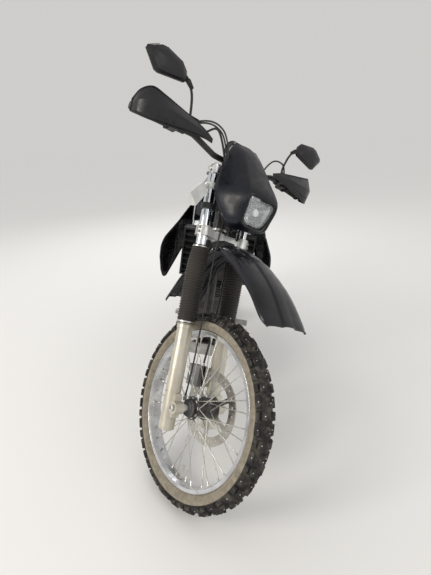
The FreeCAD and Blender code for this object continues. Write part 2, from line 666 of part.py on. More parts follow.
def pivot_bolts():
    """The swingarm's bolt and the rear axle with its spacers."""
    pivot = V(0, S.pivot_back, S.pivot_height)
    axle = REAR_AXLE
    bolt = fuse([rod(pivot - V(122, 0, 0), pivot + V(122, 0, 0), 9.8),
                 rod(pivot + V(114.3, 0, 0), pivot + V(124, 0, 0), 16),
                 rod(pivot - V(124, 0, 0), pivot - V(114.3, 0, 0), 16)])
    reach = S.arm_outer
    spindle = [rod(axle - V(reach + 12, 0, 0), axle + V(reach + 12, 0, 0), S.axle_radius),
               rod(axle + V(reach + 0.2, 0, 0), axle + V(reach + 10, 0, 0), 14),
               rod(axle - V(reach + 10, 0, 0), axle - V(reach + 0.2, 0, 0), 14),
               rod(axle - V(S.arm_inner - 0.2, 0, 0), axle - V(S.rear_disc_offset + S.bearing_gap, 0, 0), 13),
               rod(axle + V(S.chain_offset - 3.2, 0, 0), axle + V(S.arm_inner - 0.2, 0, 0), 13)]
    return node("axle_and_pivot_bolts", Part.makeCompound([bolt, fuse(spindle)]), "body")


def engine_case():
    """Crankcase with its round covers, low between the cradle tubes."""
    low = S.engine_low
    outline = [V(-66, -205, low + 60), V(-66, -160, low), V(-66, 100, low), V(-66, 150, low + 60),
               V(-66, 148, 470), V(-66, 60, 520), V(-66, -130, 520), V(-66, -205, 450)]
    parts = [prism(outline, V(126, 0, 0)),
             rod(V(-66, 20, 400), V(-118, 20, 400), 84), rod(V(-118, 20, 400), V(-124, 20, 400), 66),
             rod(V(-60, -108, 392), V(-104, -108, 392), 50),
             rod(V(60, -84, 395), V(104, -84, 395), 74), rod(V(104, -84, 395), V(110, -84, 395), 56)]
    return node("engine_case", fuse(parts), "body")


def engine_top():
    """Cylinder, head and cover, leaning a little forward, with cooling fins."""
    lean = moved(0, -40, 520.3) * turned(V(1, 0, 0), 8)
    parts = [box(V(-58, -62, 0), V(58, 62, 100))]
    for index in range(6):
        z = 12 + index * 14
        parts.append(box(V(-72, -76, z), V(72, 76, z + 5)))
    parts.append(box(V(-66, -74, 96), V(66, 74, 150)))
    parts.append(loft([[V(-60, -78, 150), V(60, -78, 150), V(60, 78, 150), V(-60, 78, 150)],
                       [V(-46, -60, 186), V(46, -60, 186), V(46, 60, 186), V(-46, 60, 186)]]))
    whole = fuse(parts)
    whole.Placement = lean
    floor = box(V(-100, -200, 400), V(100, 200, 520.3))
    return node("engine_top", whole.cut(floor), "body")


SILENCER = (V(-176, 348, 634), V(-180, 800, 770))


def exhaust():
    """Header pipe down beside the front tube, back along the right of the engine, to the silencer."""
    port = V(-34, -129.6, 622)
    start, end = SILENCER
    run = (end - start).normalize()
    pipe = tube([port, port + V(0, -74, -10), V(-60, -234, 540), V(-98, -196, 506), V(-98, 60, 506),
                 V(-130, 165, 530), start - run * 60, start - run * 0.3], 17, 22)
    return node("exhaust_header", pipe, "body")


def silencer():
    start, end = SILENCER
    run = (end - start).normalize()
    whole = [rod(start + run * 40, end, 46), Part.makeCone(20, 46, 40, start, run), rod(end, end + run * 26, 16)]
    stay = box(V(-150, 640, 740), V(-98.3, 670, 850))
    return node("silencer", fuse(whole + [stay]), "body")


def skid_plate():
    top = S.engine_low - 2 * S.cradle_tube - 0.9
    low = top - S.panel
    plate = [V(-98, -230, low), V(-98, 40, low), V(-98, 40, top), V(-98, -228, top), V(-98, -286, 352),
             V(-98, -290, 350)]
    return node("skid_plate", prism(plate, V(196, 0, 0)), "body")


def radiators():
    """Two cores beside the down tube, each behind its louvred guard."""
    low, high = 660, 872
    core = box(V(44, -240, low), V(152, -208, high))
    rims = box(V(44, -264, low), V(152, -240, high)).cut(box(V(51, -270, low + 8), V(145, -230, high - 8)))
    blades = []
    for index in range(7):
        z = low + 18 + index * 27
        blades.append(prism([V(50, -262, z), V(50, -243, z + 12), V(50, -243, z + 15), V(50, -262, z + 3)], V(96, 0, 0)))
    stay = box(V(18, -262, 800), V(46, -244, 830))
    return node("radiators", pair(fuse([core, rims, stay] + blades)), "body")


def fuel_tank():
    # back, bottom, top, half width below, half width above
    rows = [(-272, 925, 1010, 60, 50), (-205, 890, S.tank_top, 120, 70), (-40, 850, S.tank_top, 150, 100),
            (50, 850, 1010, 128, 80), (100, 866, 952, 96, 62)]
    sections = []
    for back, low, high, wide, narrow in rows:
        shoulder = (low + high) / 2 + 20
        sections.append([V(-wide, back, low), V(wide, back, low), V(wide, back, shoulder), V(narrow, back, high),
                         V(-narrow, back, high), V(-wide, back, shoulder)])
    whole = loft(sections)
    tunnel = tube(BACKBONE, S.backbone_radius + 0.4, 120)
    slot = box(V(-26, -400, 800), V(26, 110, 931))
    neck = rod(steer_axis(500), steer_axis(1050), 138)
    return node("fuel_tank", whole.cut(tunnel).cut(slot).cut(neck), "body")


def fuel_cap():
    return node("fuel_cap", rod(V(0, -110, S.tank_top), V(0, -110, S.tank_top + 14), 34), "body")


def shrouds():
    """Side shrouds flaring forward past the radiators."""
    wall = S.panel
    # back, half width low and high, bottom, top
    rows = [(-60, 150.6, 152.4, 800, 950), (-250, 182, 186, 715, 884), (-405, 198, 224, 668, 826)]
    sections = [[V(low, back, bottom), V(low + wall, back, bottom), V(high + wall, back, top), V(high, back, top)]
                for back, low, high, bottom, top in rows]
    return node("shrouds", pair(loft(sections)), "body")


def seat():
    # back, bottom, top, half width below, half width above
    rows = [(100.4, 870, 948, 62, 48), (180, 836, 906, 96, 66), (320, 836, 892, 116, 92), (500, 846, 908, 116, 96),
            (720, 876, 930, 96, 74), (780, 884, 914, 78, 60)]
    sections = []
    for back, low, high, wide, narrow in rows:
        sections.append([V(-wide, back, low), V(wide, back, low), V(wide, back, low + 30), V(narrow, back, high),
                         V(-narrow, back, high), V(-wide, back, low + 30)])
    return node("seat", loft(sections), "body")


def side_panels():
    outline = [V(0, 150, 620), V(0, 330, 560), V(0, 540, 690), V(0, 620, 830), V(0, 160, 830)]
    plate = prism(outline, V(S.panel, 0, 0))
    plate.translate(V(117.5, 0, 0))
    return node("side_panels", pair(plate), "body")


def rear_fender():
    # back, height, half width
    rows = [(330, 650, 60), (430, 752, 64), (560, 800, 66), (780, 838, 66), (850, 856, 80), (960, 866, 76),
            (1050, 850, 62)]
    sections = []
    for back, height, half in rows:
        sections.append([V(-half, back, height - 34), V(-half + 6, back, height - 4), V(half - 6, back, height - 4),
                         V(half, back, height - 34), V(half - 4, back, height - 34), V(half - 9, back, height - 8),
                         V(-half + 9, back, height - 8), V(-half + 4, back, height - 34)])
    return node("rear_fender", loft(sections), "body")


def rear_lamps():
    """Tail lamp at the end of the fender and two indicators on short stalks."""
    lamp = box(V(-52, 1050.3, 806), V(52, 1086, 848))
    made = [lamp]
    for side in (-1, 1):
        stalk = rod(V(side * 75.2, 930, 846), V(side * 150, 930, 846), 8)
        end = loft([[V(side * 130, 950, 822), V(side * 190, 950, 828), V(side * 190, 950, 868), V(side * 130, 950, 876)],
                    [V(side * 135, 910, 828), V(side * 180, 910, 833), V(side * 180, 910, 862), V(side * 135, 910, 868)]])
        made.append(fuse([stalk, end]))
    return node("rear_lamps", Part.makeCompound(made), "body")


def rear_shock():
    """Damper and spring between the swingarm's cross member and the frame's cross tube."""
    low, high = V(0, 276, 418.3), V(0, 172.5, 700)
    run = (high - low).normalize()
    parts = [rod(low + run * 6, high - run * 6, 12), rod(low - V(16, 0, 0), low + V(16, 0, 0), 12),
             rod(high - V(16, 0, 0), high + V(16, 0, 0), 12), rod(low + run * 24, low + run * 60, 30),
             rod(high - run * 90, high - run * 26, 28)]
    for index in range(7):
        parts.append(rod(low + run * (66 + index * 19), low + run * (75 + index * 19), 36))
    return node("rear_shock", fuse(parts), "body")


def chain():
    """One loop of side plates round both sprockets, its rollers clear of the teeth."""
    front_radius = S.chain_pitch / (2 * math.sin(math.pi / S.front_teeth))
    rear_radius = S.chain_pitch / (2 * math.sin(math.pi / S.rear_teeth))
    front, rear = V(0, S.sprocket_back, S.sprocket_height), REAR_AXLE
    line = rear - front
    slope = math.atan2(line.z, line.y)
    spread = math.asin((rear_radius - front_radius) / line.Length)

    def loop(grow, x):
        """The chain's closed path, this much outside its pitch line."""
        def at(centre, radius, angle):
            return centre + V(x, (radius + grow) * math.cos(angle), (radius + grow) * math.sin(angle))
        up, down = slope + math.pi / 2 + spread, slope - math.pi / 2 - spread
        top = (at(front, front_radius, up), at(rear, rear_radius, up))
        base = (at(rear, rear_radius, down), at(front, front_radius, down))
        return Part.Wire([Part.LineSegment(*top).toShape(),
                          Part.Arc(top[1], at(rear, rear_radius, slope), base[0]).toShape(),
                          Part.LineSegment(*base).toShape(),
                          Part.Arc(base[1], at(front, front_radius, slope + math.pi), top[0]).toShape()])
    half = S.chain_width / 2
    sides = []
    for x in (-half, half - 2):
        outer = Part.Face(loop(S.plate_half_height, S.chain_offset + x))
        inner = Part.Face(loop(-S.plate_half_height, S.chain_offset + x))
        sides.append(outer.cut(inner).extrude(V(2, 0, 0)))
    bar = Part.Face(loop(S.plate_half_height, S.chain_offset - half)).cut(
        Part.Face(loop(S.plate_half_height - 2, S.chain_offset - half))).extrude(V(S.chain_width, 0, 0))
    return node("chain", fuse(sides + [bar]), "body")


def front_sprocket():
    """The small sprocket on its shaft, standing out of the engine's left side."""
    plate = sprocket_plate(int(S.front_teeth), 0, S.sprocket_thickness, 6)
    plate.translate(V(S.chain_offset, S.sprocket_back, S.sprocket_height))
    shaft = rod(V(60.3, S.sprocket_back, S.sprocket_height), V(S.chain_offset + 8, S.sprocket_back, S.sprocket_height), 13)
    return node("front_sprocket", plate.fuse(shaft), "body")


def footpegs():
    peg = box(V(116.3, 70, 296), V(196, 98, 316))
    return node("footpegs", pair(peg), "body")


def foot_controls():
    """Brake pedal on the right and shift lever on the left."""
    brake = fuse([rod(V(-121.4, 172, 332), V(-143, 172, 332), 9), rod(V(-133, 172, 332), V(-133, -70, 326), 6),
                  box(V(-162, -98, 316), V(-126, -66, 335))])
    shift = fuse([rod(V(60.3, 55, 338), V(124, 55, 338), 7), rod(V(118, 55, 338), V(118, -90, 350), 6),
                  rod(V(113, -90, 350), V(150, -90, 350), 8)])
    return node("foot_controls", Part.makeCompound([brake, shift]), "body")


def rear_caliper():
    x = -S.rear_disc_offset - S.disc_thickness / 2
    low = REAR_AXLE + V(0, -95, 10)
    body = box(V(x - 14, low.y - 30, low.z), V(x + 14, low.y + 22, low.z + 66))
    gap = box(V(x - 5, low.y - 20, low.z - 1), V(x + 5, low.y + 30, low.z + 70))
    bracket = box(V(-S.arm_inner + 0.3, low.y - 30, low.z), V(x - 13, low.y + 10, low.z + 30))
    return node("rear_caliper", fuse([body.cut(gap), bracket]), "body")


def stand_foot():
    """Where the stand meets the floor and which way is up there, on the upright machine."""
    to_body = PARKED.inverse()
    foot = V(S.origin_left + S.foot_side, S.origin_back + S.foot_back, 0)
    return to_body.multVec(foot), to_body.Rotation.multVec(V(0, 0, 1))


def stand_hinge():
    """The stand's pivot, and the axis that swings its leg back beside the wheel."""
    pivot = V(S.stand_side, S.stand_back, S.stand_height)
    down = stand_foot()[0] - pivot
    folded = V(42, 280, 34)
    return pivot, down.cross(folded).normalize()


def side_stand():
    """A leg from its pivot under the left peg down to a foot flat on the floor."""
    pivot, axis = stand_hinge()
    foot, up = stand_foot()
    pad = rod(foot, foot + up * 8, S.foot_radius)
    leg = rod(pivot, foot + up * 8, S.stand_tube)
    eye = rod(pivot - axis * 11, pivot + axis * 8, 18)
    pin = rod(pivot - axis * 30, pivot + axis * 30, 6.4)
    return node("side_stand", fuse([pad, leg, eye]).cut(pin), "body")


def body():
    frame()
    swingarm()
    pivot_bolts()
    engine_case()
    engine_top()
    exhaust()
    silencer()
    skid_plate()
    radiators()
    fuel_tank()
    fuel_cap()
    shrouds()
    seat()
    side_panels()
    rear_fender()
    rear_lamps()
    rear_shock()
    chain()
    front_sprocket()
    footpegs()
    foot_controls()
    rear_caliper()
    side_stand()


wheels()
steering()
body()

doc.recompute()
os.makedirs(PARTS, exist_ok=True)
for piece in nodes:
    if "Invalid" in piece.State or "Error" in piece.State or piece.Shape.isNull() or not piece.Shape.isValid():
        raise RuntimeError(f"{piece.Label} did not build: {piece.State}")
for piece in nodes:
    piece.Shape.exportStep(os.path.join(PARTS, piece.Label + ".step"))
    print(piece.Label, len(piece.Shape.Solids), round(piece.Shape.Volume / 1e3), "cm3")
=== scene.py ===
# Dual sport motorcycle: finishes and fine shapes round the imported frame.
# Shapes are written in millimetres about the front axle, the rear axle or the middle of the
# machine, as if it stood upright, and are carried to their parked place in metres.
import json
from math import asin, atan2, copysign, cos, pi, radians, sin, sqrt

import bmesh
import bpy
from mathutils import Matrix, Vector
from mathutils.bvhtree import BVHTree


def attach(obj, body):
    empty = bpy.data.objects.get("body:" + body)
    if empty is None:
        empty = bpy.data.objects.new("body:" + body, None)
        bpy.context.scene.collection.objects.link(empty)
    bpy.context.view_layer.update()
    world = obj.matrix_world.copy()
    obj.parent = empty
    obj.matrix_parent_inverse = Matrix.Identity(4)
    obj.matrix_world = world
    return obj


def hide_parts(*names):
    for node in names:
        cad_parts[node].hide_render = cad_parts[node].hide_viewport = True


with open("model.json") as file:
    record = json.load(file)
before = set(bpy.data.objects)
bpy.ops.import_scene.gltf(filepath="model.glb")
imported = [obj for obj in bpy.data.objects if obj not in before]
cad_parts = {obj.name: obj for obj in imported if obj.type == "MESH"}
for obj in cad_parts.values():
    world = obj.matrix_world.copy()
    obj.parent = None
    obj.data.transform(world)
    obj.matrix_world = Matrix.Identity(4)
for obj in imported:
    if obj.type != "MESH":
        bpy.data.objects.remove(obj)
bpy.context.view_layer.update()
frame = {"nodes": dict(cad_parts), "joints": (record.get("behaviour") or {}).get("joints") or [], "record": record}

MM = 0.001
RAKE = radians(27.8)
REAR_AXLE = Vector((0, 745, 322))
GRAIN_SCALE, GRAIN_DEPTH, FLUTE_DEPTH = 900, 0.001, 0.002
# faces round a wheel, and the fork tube's place beside the front axle
WHEEL_STEPS = 120
TUBE = (96, 38)
joints = {joint["name"]: joint for joint in frame["joints"]}


# Places

def axes(across, up, origin):
    """Local millimetres to the frame's metres: X across, Z up, and Y back from them."""
    back = up.cross(across)
    turn = Matrix((across, back, up)).transposed().to_4x4()
    return Matrix.Translation(origin) @ turn @ Matrix.Scale(MM, 4)


def joint_axis(name):
    return Vector(joints[name]["axis"]).normalized()


def joint_place(name):
    return Vector(joints[name]["pos_m"])


STEER_UP = joint_axis("steering_turn")
FORK = axes(joint_axis("front_wheel_spin"), STEER_UP, joint_place("front_wheel_spin"))
across = joint_axis("rear_wheel_spin")
back = STEER_UP.cross(across)
upright = cos(RAKE) * STEER_UP - sin(RAKE) * back
REAR = axes(across, upright, joint_place("rear_wheel_spin"))
BODY = REAR @ Matrix.Translation(-REAR_AXLE)


# Materials

def nodes_of(name):
    made = bpy.data.materials.new(name)
    made.use_nodes = True
    tree = made.node_tree
    return made, tree, tree.nodes["Principled BSDF"]


def set_inputs(node, **values):
    """Fixed values of a node's inputs, with _ for a space in a name."""
    for name, value in values.items():
        node.inputs[name.replace("_", " ")].default_value = value


def add_node(tree, kind, **values):
    node = tree.nodes.new("ShaderNode" + kind)
    set_inputs(node, **values)
    return node


def texture(tree, kind, **values):
    """A texture that follows the piece's own coordinates."""
    made = add_node(tree, kind, **values)
    tree.links.new(add_node(tree, "TexCoord").outputs["Object"], made.inputs["Vector"])
    return made


def relief(tree, shader, pattern, strength, depth):
    """Bumps from a texture, depth in metres."""
    bump = add_node(tree, "Bump", Strength=strength, Distance=depth)
    tree.links.new(pattern.outputs["Fac"], bump.inputs["Height"])
    tree.links.new(bump.outputs["Normal"], shader.inputs["Normal"])


def mix_colour(tree, factor, low, high):
    mix = add_node(tree, "Mix")
    mix.data_type = "RGBA"
    tree.links.new(factor, mix.inputs["Factor"])
    for socket, colour in ((mix.inputs[6], low), (mix.inputs[7], high)):
        if isinstance(colour, tuple):
            socket.default_value = (*colour, 1)
        else:
            tree.links.new(colour, socket)
    return mix.outputs[2]


def noise(tree, scale, detail=3, low=0.4, high=0.6):
    """Soft patches between 0 and 1, scale in patches a metre."""
    cloud = texture(tree, "TexNoise", Scale=scale, Detail=detail)
    reach = add_node(tree, "MapRange", From_Min=low, From_Max=high)
    tree.links.new(cloud.outputs["Fac"], reach.inputs["Value"])
    return reach.outputs["Result"]


def finish(name, colour, rough, metal=0.0, dust=0.0, dust_colour=(0.42, 0.36, 0.28), grain=0.0,
           spread=0.15, coat=0.0, patches=14, specular=0.5, even=False):
    """A surface with patchy colour and gloss, dust in patches or evenly, and a fine grain."""
    made, tree, shader = nodes_of(name)
    darker = tuple(channel * (1 - spread) for channel in colour)
    lighter = tuple(min(1, channel * (1 + spread)) for channel in colour)
    base = mix_colour(tree, noise(tree, patches), darker, lighter)
    if dust:
        low, high = (0.05, 0.75) if even else (0.45, 0.75)
        amount = add_node(tree, "Math")
        amount.operation = "MULTIPLY"
        amount.inputs[1].default_value = dust
        tree.links.new(noise(tree, patches * 3.1, 6, low, high), amount.inputs[0])
        base = mix_colour(tree, amount.outputs[0], base, dust_colour)
    tree.links.new(base, shader.inputs["Base Color"])
    shine = add_node(tree, "MapRange", To_Min=max(0.03, rough - 0.07), To_Max=min(1, rough + 0.09))
    tree.links.new(noise(tree, patches * 2.3), shine.inputs["Value"])
    tree.links.new(shine.outputs["Result"], shader.inputs["Roughness"])
    set_inputs(shader, Metallic=metal, Coat_Weight=coat, Specular_IOR_Level=specular)
    if grain:
        relief(tree, shader, texture(tree, "TexNoise", Scale=GRAIN_SCALE), grain, GRAIN_DEPTH)
    return made


PAINTS = {
    "mirror": finish("mirror glass", (0.85, 0.87, 0.9), 0.05, 1.0, spread=0.02),
    "tyre": finish("tread rubber", (0.022, 0.021, 0.02), 0.72, dust=0.22, grain=0.4, specular=0.3),
    "tyre_wall": finish("dusty tyre wall", (0.15, 0.135, 0.11), 0.88, dust=0.8, dust_colour=(0.4, 0.35, 0.27),
                        grain=0.3, patches=22, specular=0.2, even=True),
    "stud": finish("stud steel", (0.75, 0.75, 0.74), 0.35, 1.0),
    "nipple": finish("nipple steel", (0.66, 0.65, 0.6), 0.35, 1.0),
    "reflector": finish("reflector", (0.5, 0.5, 0.5), 0.2, 1.0, spread=0.03),
    "bulb": finish("bulb glass", (0.75, 0.76, 0.78), 0.15, 0.3),
    "lever": finish("lever", (0.045, 0.045, 0.047), 0.35, 0.5),
    "dial": finish("dial face", (0.012, 0.012, 0.013), 0.4),
    "mark": finish("dial marks", (0.8, 0.8, 0.78), 0.5),
    "needle": finish("needle", (0.6, 0.08, 0.03), 0.4),
    "spring": finish("spring paint", (0.42, 0.42, 0.43), 0.35, 0.3, dust=0.2),
    "engine_trim": finish("engine trim", (0.16, 0.16, 0.165), 0.4, 0.7, dust=0.15),
    "tail_lens": finish("tail lens", (0.5, 0.02, 0.012), 0.12, coat=0.6),
    "amber": finish("amber lens", (0.75, 0.3, 0.05), 0.12, coat=0.6),
    "rim": finish("bright rim", (0.58, 0.59, 0.61), 0.24, 1.0, dust=0.1),
    "spoke": finish("spoke", (0.6, 0.59, 0.56), 0.3, 1.0, spread=0.1),
    "hub": finish("dark hub", (0.07, 0.07, 0.075), 0.5, 0.4, dust=0.25),
    "disc": finish("brake disc", (0.5, 0.48, 0.44), 0.28, 1.0),
    "sprocket": finish("sprocket", (0.3, 0.29, 0.27), 0.45, 1.0),
    "clamp": finish("silver clamp", (0.74, 0.74, 0.73), 0.38, 0.9, grain=0.2),
    "chromed_tube": finish("chrome tube", (0.82, 0.85, 0.9), 0.08, 1.0, spread=0.04),
    "gaiter": finish("gaiter rubber", (0.016, 0.015, 0.014), 0.5, dust=0.11, dust_colour=(0.2, 0.16, 0.12),
                     patches=5, specular=0.3, even=True),
    "fork_leg": finish("fork leg", (0.62, 0.58, 0.49), 0.35, 0.75, spread=0.06),
    "axle_steel": finish("zinc steel", (0.6, 0.6, 0.58), 0.35, 1.0),
    "handlebar": finish("black bar", (0.03, 0.03, 0.03), 0.4, 0.3),
    "grip": finish("grip rubber", (0.02, 0.02, 0.02), 0.8, grain=0.5),
    "control": finish("control black", (0.03, 0.03, 0.032), 0.45, 0.3),
    "black_plastic": finish("black plastic", (0.01, 0.01, 0.012), 0.36, grain=0.2, specular=0.45),
    "instrument": finish("instrument", (0.02, 0.02, 0.02), 0.5),
    "mask": finish("mask gloss", (0.005, 0.006, 0.011), 0.34, coat=0.08, spread=0.3, specular=0.3),
    "lamp_body": finish("lamp body", (0.03, 0.03, 0.03), 0.4),
    "fender": finish("fender gloss", (0.008, 0.008, 0.011), 0.24, coat=0.2, spread=0.3, specular=0.3),
    "indicator": finish("indicator lens", (0.62, 0.62, 0.6), 0.15),
    "caliper": finish("caliper", (0.25, 0.25, 0.25), 0.45, 0.7),
    "frame": finish("frame paint", (0.02, 0.02, 0.022), 0.35, 0.2, dust=0.1),
    "swingarm": finish("swingarm", (0.5, 0.5, 0.49), 0.4, 0.9),
    "engine": finish("engine", (0.1, 0.1, 0.105), 0.5, 0.6, dust=0.2, grain=0.3),
    "exhaust": finish("header", (0.45, 0.38, 0.28), 0.35, 1.0, spread=0.3),
    "silencer": finish("silencer", (0.3, 0.3, 0.3), 0.35, 0.9),
    "skid": finish("skid", (0.4, 0.4, 0.39), 0.45, 0.9, dust=0.3),
    "radiator": finish("radiator", (0.02, 0.02, 0.02), 0.5),
    "tank": finish("tank gloss", (0.006, 0.007, 0.012), 0.15, coat=0.3, spread=0.3, specular=0.3),
    "cap": finish("cap", (0.5, 0.5, 0.5), 0.3, 1.0),
    "shroud": finish("shroud gloss", (0.008, 0.008, 0.011), 0.22, coat=0.2, spread=0.3, specular=0.3),
    "seat_cover": finish("seat vinyl", (0.02, 0.02, 0.02), 0.6, grain=0.6),
    "side_panel": finish("side panel", (0.008, 0.008, 0.011), 0.24, coat=0.2, specular=0.3),
    "rear_fender": finish("rear fender", (0.014, 0.014, 0.015), 0.45, specular=0.3),
    "tail_lamp": finish("tail lamp", (0.4, 0.02, 0.015), 0.15),
    "shock": finish("shock", (0.35, 0.35, 0.36), 0.35, 0.6),
    "chain": finish("chain", (0.2, 0.18, 0.15), 0.45, 1.0),
    "peg": finish("peg", (0.35, 0.35, 0.34), 0.45, 1.0),
    "stand": finish("stand", (0.03, 0.03, 0.03), 0.4, 0.3),
    "hose": finish("hose", (0.02, 0.02, 0.02), 0.5),
}


def clear(name, tint, ripple, scale):
    """Clear moulded glass with fine flutes."""
    made, tree, shader = nodes_of(name)
    set_inputs(shader, Base_Color=(*tint, 1), Roughness=0.06, Alpha=0.16)
    relief(tree, shader, texture(tree, "TexWave", Scale=scale, Distortion=0.6), ripple, FLUTE_DEPTH)
    return made


PAINTS["lamp_glass"] = clear("lamp glass", (0.95, 0.97, 1.0), 0.5, 40)
slots = {entry["node"]: entry["material_slot"] for entry in frame["record"]["subparts"]}
for name, cad in frame["nodes"].items():
    paint = PAINTS[slots[name]]
    if cad.data.materials:
        cad.data.materials[0] = paint
    else:
        cad.data.materials.append(paint)


# Shapes: each is a list of corners and a list of faces, in local millimetres

BOX_FACES = [(3, 2, 1, 0), (4, 5, 6, 7), (0, 1, 5, 4), (1, 2, 6, 5), (2, 3, 7, 6), (3, 0, 4, 7)]


def xyz(*place):
    return Vector(place)


def angles(count):
    """Angles spaced evenly round a circle."""
    return [2 * pi * step / count for step in range(count)]


def between(a, b, c, d, t):
    """A smooth curve from b at t = 0 to c at t = 1."""
    return 0.5 * (2 * b + (c - a) * t + (2 * a - 5 * b + 4 * c - d) * t ** 2
        + (3 * b - a - 3 * c + d) * t ** 3)


def merge(*parts):
    corners, faces = [], []
    for more, sides in parts:
        start = len(corners)
        corners += more
        faces += [tuple(start + index for index in side) for side in sides]
    return corners, faces


def carried(part, matrix):
    return [matrix @ Vector(corner) for corner in part[0]], part[1]


def mirrored(part):
    """The same shape on the other side of the machine, facing outward again."""
    return [xyz(-x, y, z) for x, y, z in part[0]], [tuple(reversed(side)) for side in part[1]]


def both(*parts):
    part = merge(*parts)
    return merge(part, mirrored(part))


def other_side(points):
    """The points mirrored, in the opposite order."""
    return [xyz(-point.x, point.y, point.z) for point in reversed(points)]


def around_x(part, count, start=0.0):
    """Copies spaced evenly round the X axis."""
    step = 2 * pi / count
    return merge(*[carried(part, Matrix.Rotation(start + index * step, 4, "X")) for index in range(count)])


def grid(rows, closed_rows=False, closed_columns=True):
    """Faces between rows of equally many corners."""
    wide = len(rows[0])
    corners = [Vector(corner) for row in rows for corner in row]
    faces = []
    for row in range(len(rows) - (0 if closed_rows else 1)):
        low, high = row * wide, (row + 1) % len(rows) * wide
        for column in range(wide - (0 if closed_columns else 1)):
            beside = (column + 1) % wide
            faces.append((low + column, low + beside, high + beside, high + column))
    return corners, faces


def sheet(rows):
    return grid(rows, closed_columns=False)


def loft(rows):
    """Rows of corners joined and closed at both ends."""
    corners, faces = grid(rows)
    wide = len(rows[0])
    last = len(corners) - wide
    return corners, faces + [tuple(reversed(range(wide))), tuple(range(last, last + wide))]


def frame_along(run):
    """Two directions square to a run."""
    run = Vector(run).normalized()
    side = run.cross(xyz(0, 0, 1) if abs(run.z) < 0.9 else xyz(1, 0, 0)).normalized()
    return side, side.cross(run)


def lathe(start, end, profile, count=24):
    """A turned shape along a line, from (distance along, radius); its ends are closed."""
    start, end = Vector(start), Vector(end)
    run = (end - start).normalized()
    side, other = frame_along(run)
    rows = []
    for along, radius in profile:
        centre = start + run * along
        rows.append([centre + (side * cos(turn) + other * sin(turn)) * max(radius, 0.01)
                     for turn in angles(count)])
    return loft(rows)


def rod(start, end, radius, count=16):
    long = (Vector(end) - Vector(start)).length
    edge = min(radius * 0.2, 1.2)
    profile = [(0, radius - edge), (edge, radius), (long - edge, radius), (long, radius - edge)]
    return lathe(start, end, profile, count)


def ring(profile):
    """A closed (across, radius) profile turned about the X axis."""
    rows = [[xyz(side, -radius * sin(turn), radius * cos(turn)) for side, radius in profile]
            for turn in angles(WHEEL_STEPS)]
    return grid(rows, closed_rows=True)


def smooth_path(points, steps=6):
    """A smooth line through the points."""
    points = [Vector(point) for point in points]
    ends = [points[0] * 2 - points[1]] + points + [points[-1] * 2 - points[-2]]
    line = [between(*ends[index - 1:index + 3], step / steps)
            for index in range(1, len(ends) - 2) for step in range(steps)]
    return line + [points[-1]]


def sweep(points, radius, count=10, steps=6, flat=1.0):
    """A round tube along a smooth line; two radii taper it and flat squashes it."""
    line = smooth_path(points, steps) if steps > 1 else [Vector(point) for point in points]
    side, other = frame_along(line[1] - line[0])
    rows = []
    for index, centre in enumerate(line):
        run = (line[min(index + 1, len(line) - 1)] - line[max(index - 1, 0)]).normalized()
        side = (side - run * side.dot(run)).normalized()
        other = side.cross(run)
        share = index / (len(line) - 1)
        here = radius[0] + (radius[1] - radius[0]) * share if isinstance(radius, tuple) else radius
        rows.append([centre + side * cos(turn) * here + other * sin(turn) * here * flat
                     for turn in angles(count)])
    return loft(rows)


def slab(low, high):
    (a, b, c), (d, e, f) = low, high
    return [xyz(x, y, z) for z in (c, f) for x, y in ((a, b), (d, b), (d, e), (a, e))], BOX_FACES


def taper(width, length, height, share):
    """A block that narrows upward, with its foot below Z = 0."""
    a, b = width / 2, length / 2
    low = [(-a, -b, -BLOCK_FOOT), (a, -b, -BLOCK_FOOT), (a, b, -BLOCK_FOOT), (-a, b, -BLOCK_FOOT)]
    return [Vector(corner) for corner in low + [(x * share, y * share, height) for x, y, z in low]], BOX_FACES


def prism(outline, shift):
    """A flat outline pushed along a vector."""
    outline, shift = [Vector(corner) for corner in outline], Vector(shift)
    return loft([outline, [corner + shift for corner in outline]])


def bolt(at, way, radius=6.0, tall=5.0):
    """A washer under a hexagon head."""
    at, way = Vector(at), Vector(way).normalized()
    washer = lathe(at, at + way, [(-1, radius * 1.25), (1.1, radius * 1.25), (1.5, radius * 1.1)], 20)
    head = lathe(at, at + way, [(1, radius), (tall - 0.8, radius), (tall, radius * 0.82)], 6)
    return merge(washer, head)


def cap_screw(at, way, radius=5.0, tall=5.0):
    """A round head with a sunk socket."""
    at, way = Vector(at), Vector(way).normalized()
    return lathe(at, at + way, [(-1, radius), (tall - 0.8, radius), (tall, radius * 0.85),
        (tall, radius * 0.5), (tall - 2.2, radius * 0.45)], 14)


def circle(fix, x, radius, start, size, tall):
    """Six fasteners in a circle round an axle, facing outward."""
    turns = [radians(start + 60 * step) for step in range(6)]
    return merge(*[fix((x, radius * sin(turn), radius * cos(turn)), (copysign(1, x), 0, 0), size, tall)
                   for turn in turns])


def standing(x, y, profile, count):
    """A turned shape on an upright line, from (height, radius)."""
    return lathe((x, y, 0), (x, y, 1), profile, count)


def linked(name, data):
    made = bpy.data.objects.new(name, data)
    bpy.context.scene.collection.objects.link(made)
    return made


def put(name, part, paint, space, body, bevel=0.0, sharp=38, replaced=()):
    """Make a piece of the scene from one shape or a list, finished and riding on its body."""
    corners, faces = merge(*part) if isinstance(part, list) else part
    data = bpy.data.meshes.new(name)
    data.from_pydata([space @ Vector(corner) for corner in corners], [], faces)
    work = bmesh.new()
    work.from_mesh(data)
    bmesh.ops.recalc_face_normals(work, faces=work.faces)
    work.to_mesh(data)
    work.free()
    data.shade_smooth()
    data.set_sharp_from_angle(angle=radians(sharp))
    data.materials.append(PAINTS[paint])
    made = linked(name, data)
    if bevel:
        edge = made.modifiers.new("edges", "BEVEL")
        edge.width = bevel * MM
        edge.segments = 2
        edge.limit_method = "ANGLE"
        edge.angle_limit = radians(40)
    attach(made, body)
    if replaced:
        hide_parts(*replaced)
    return made


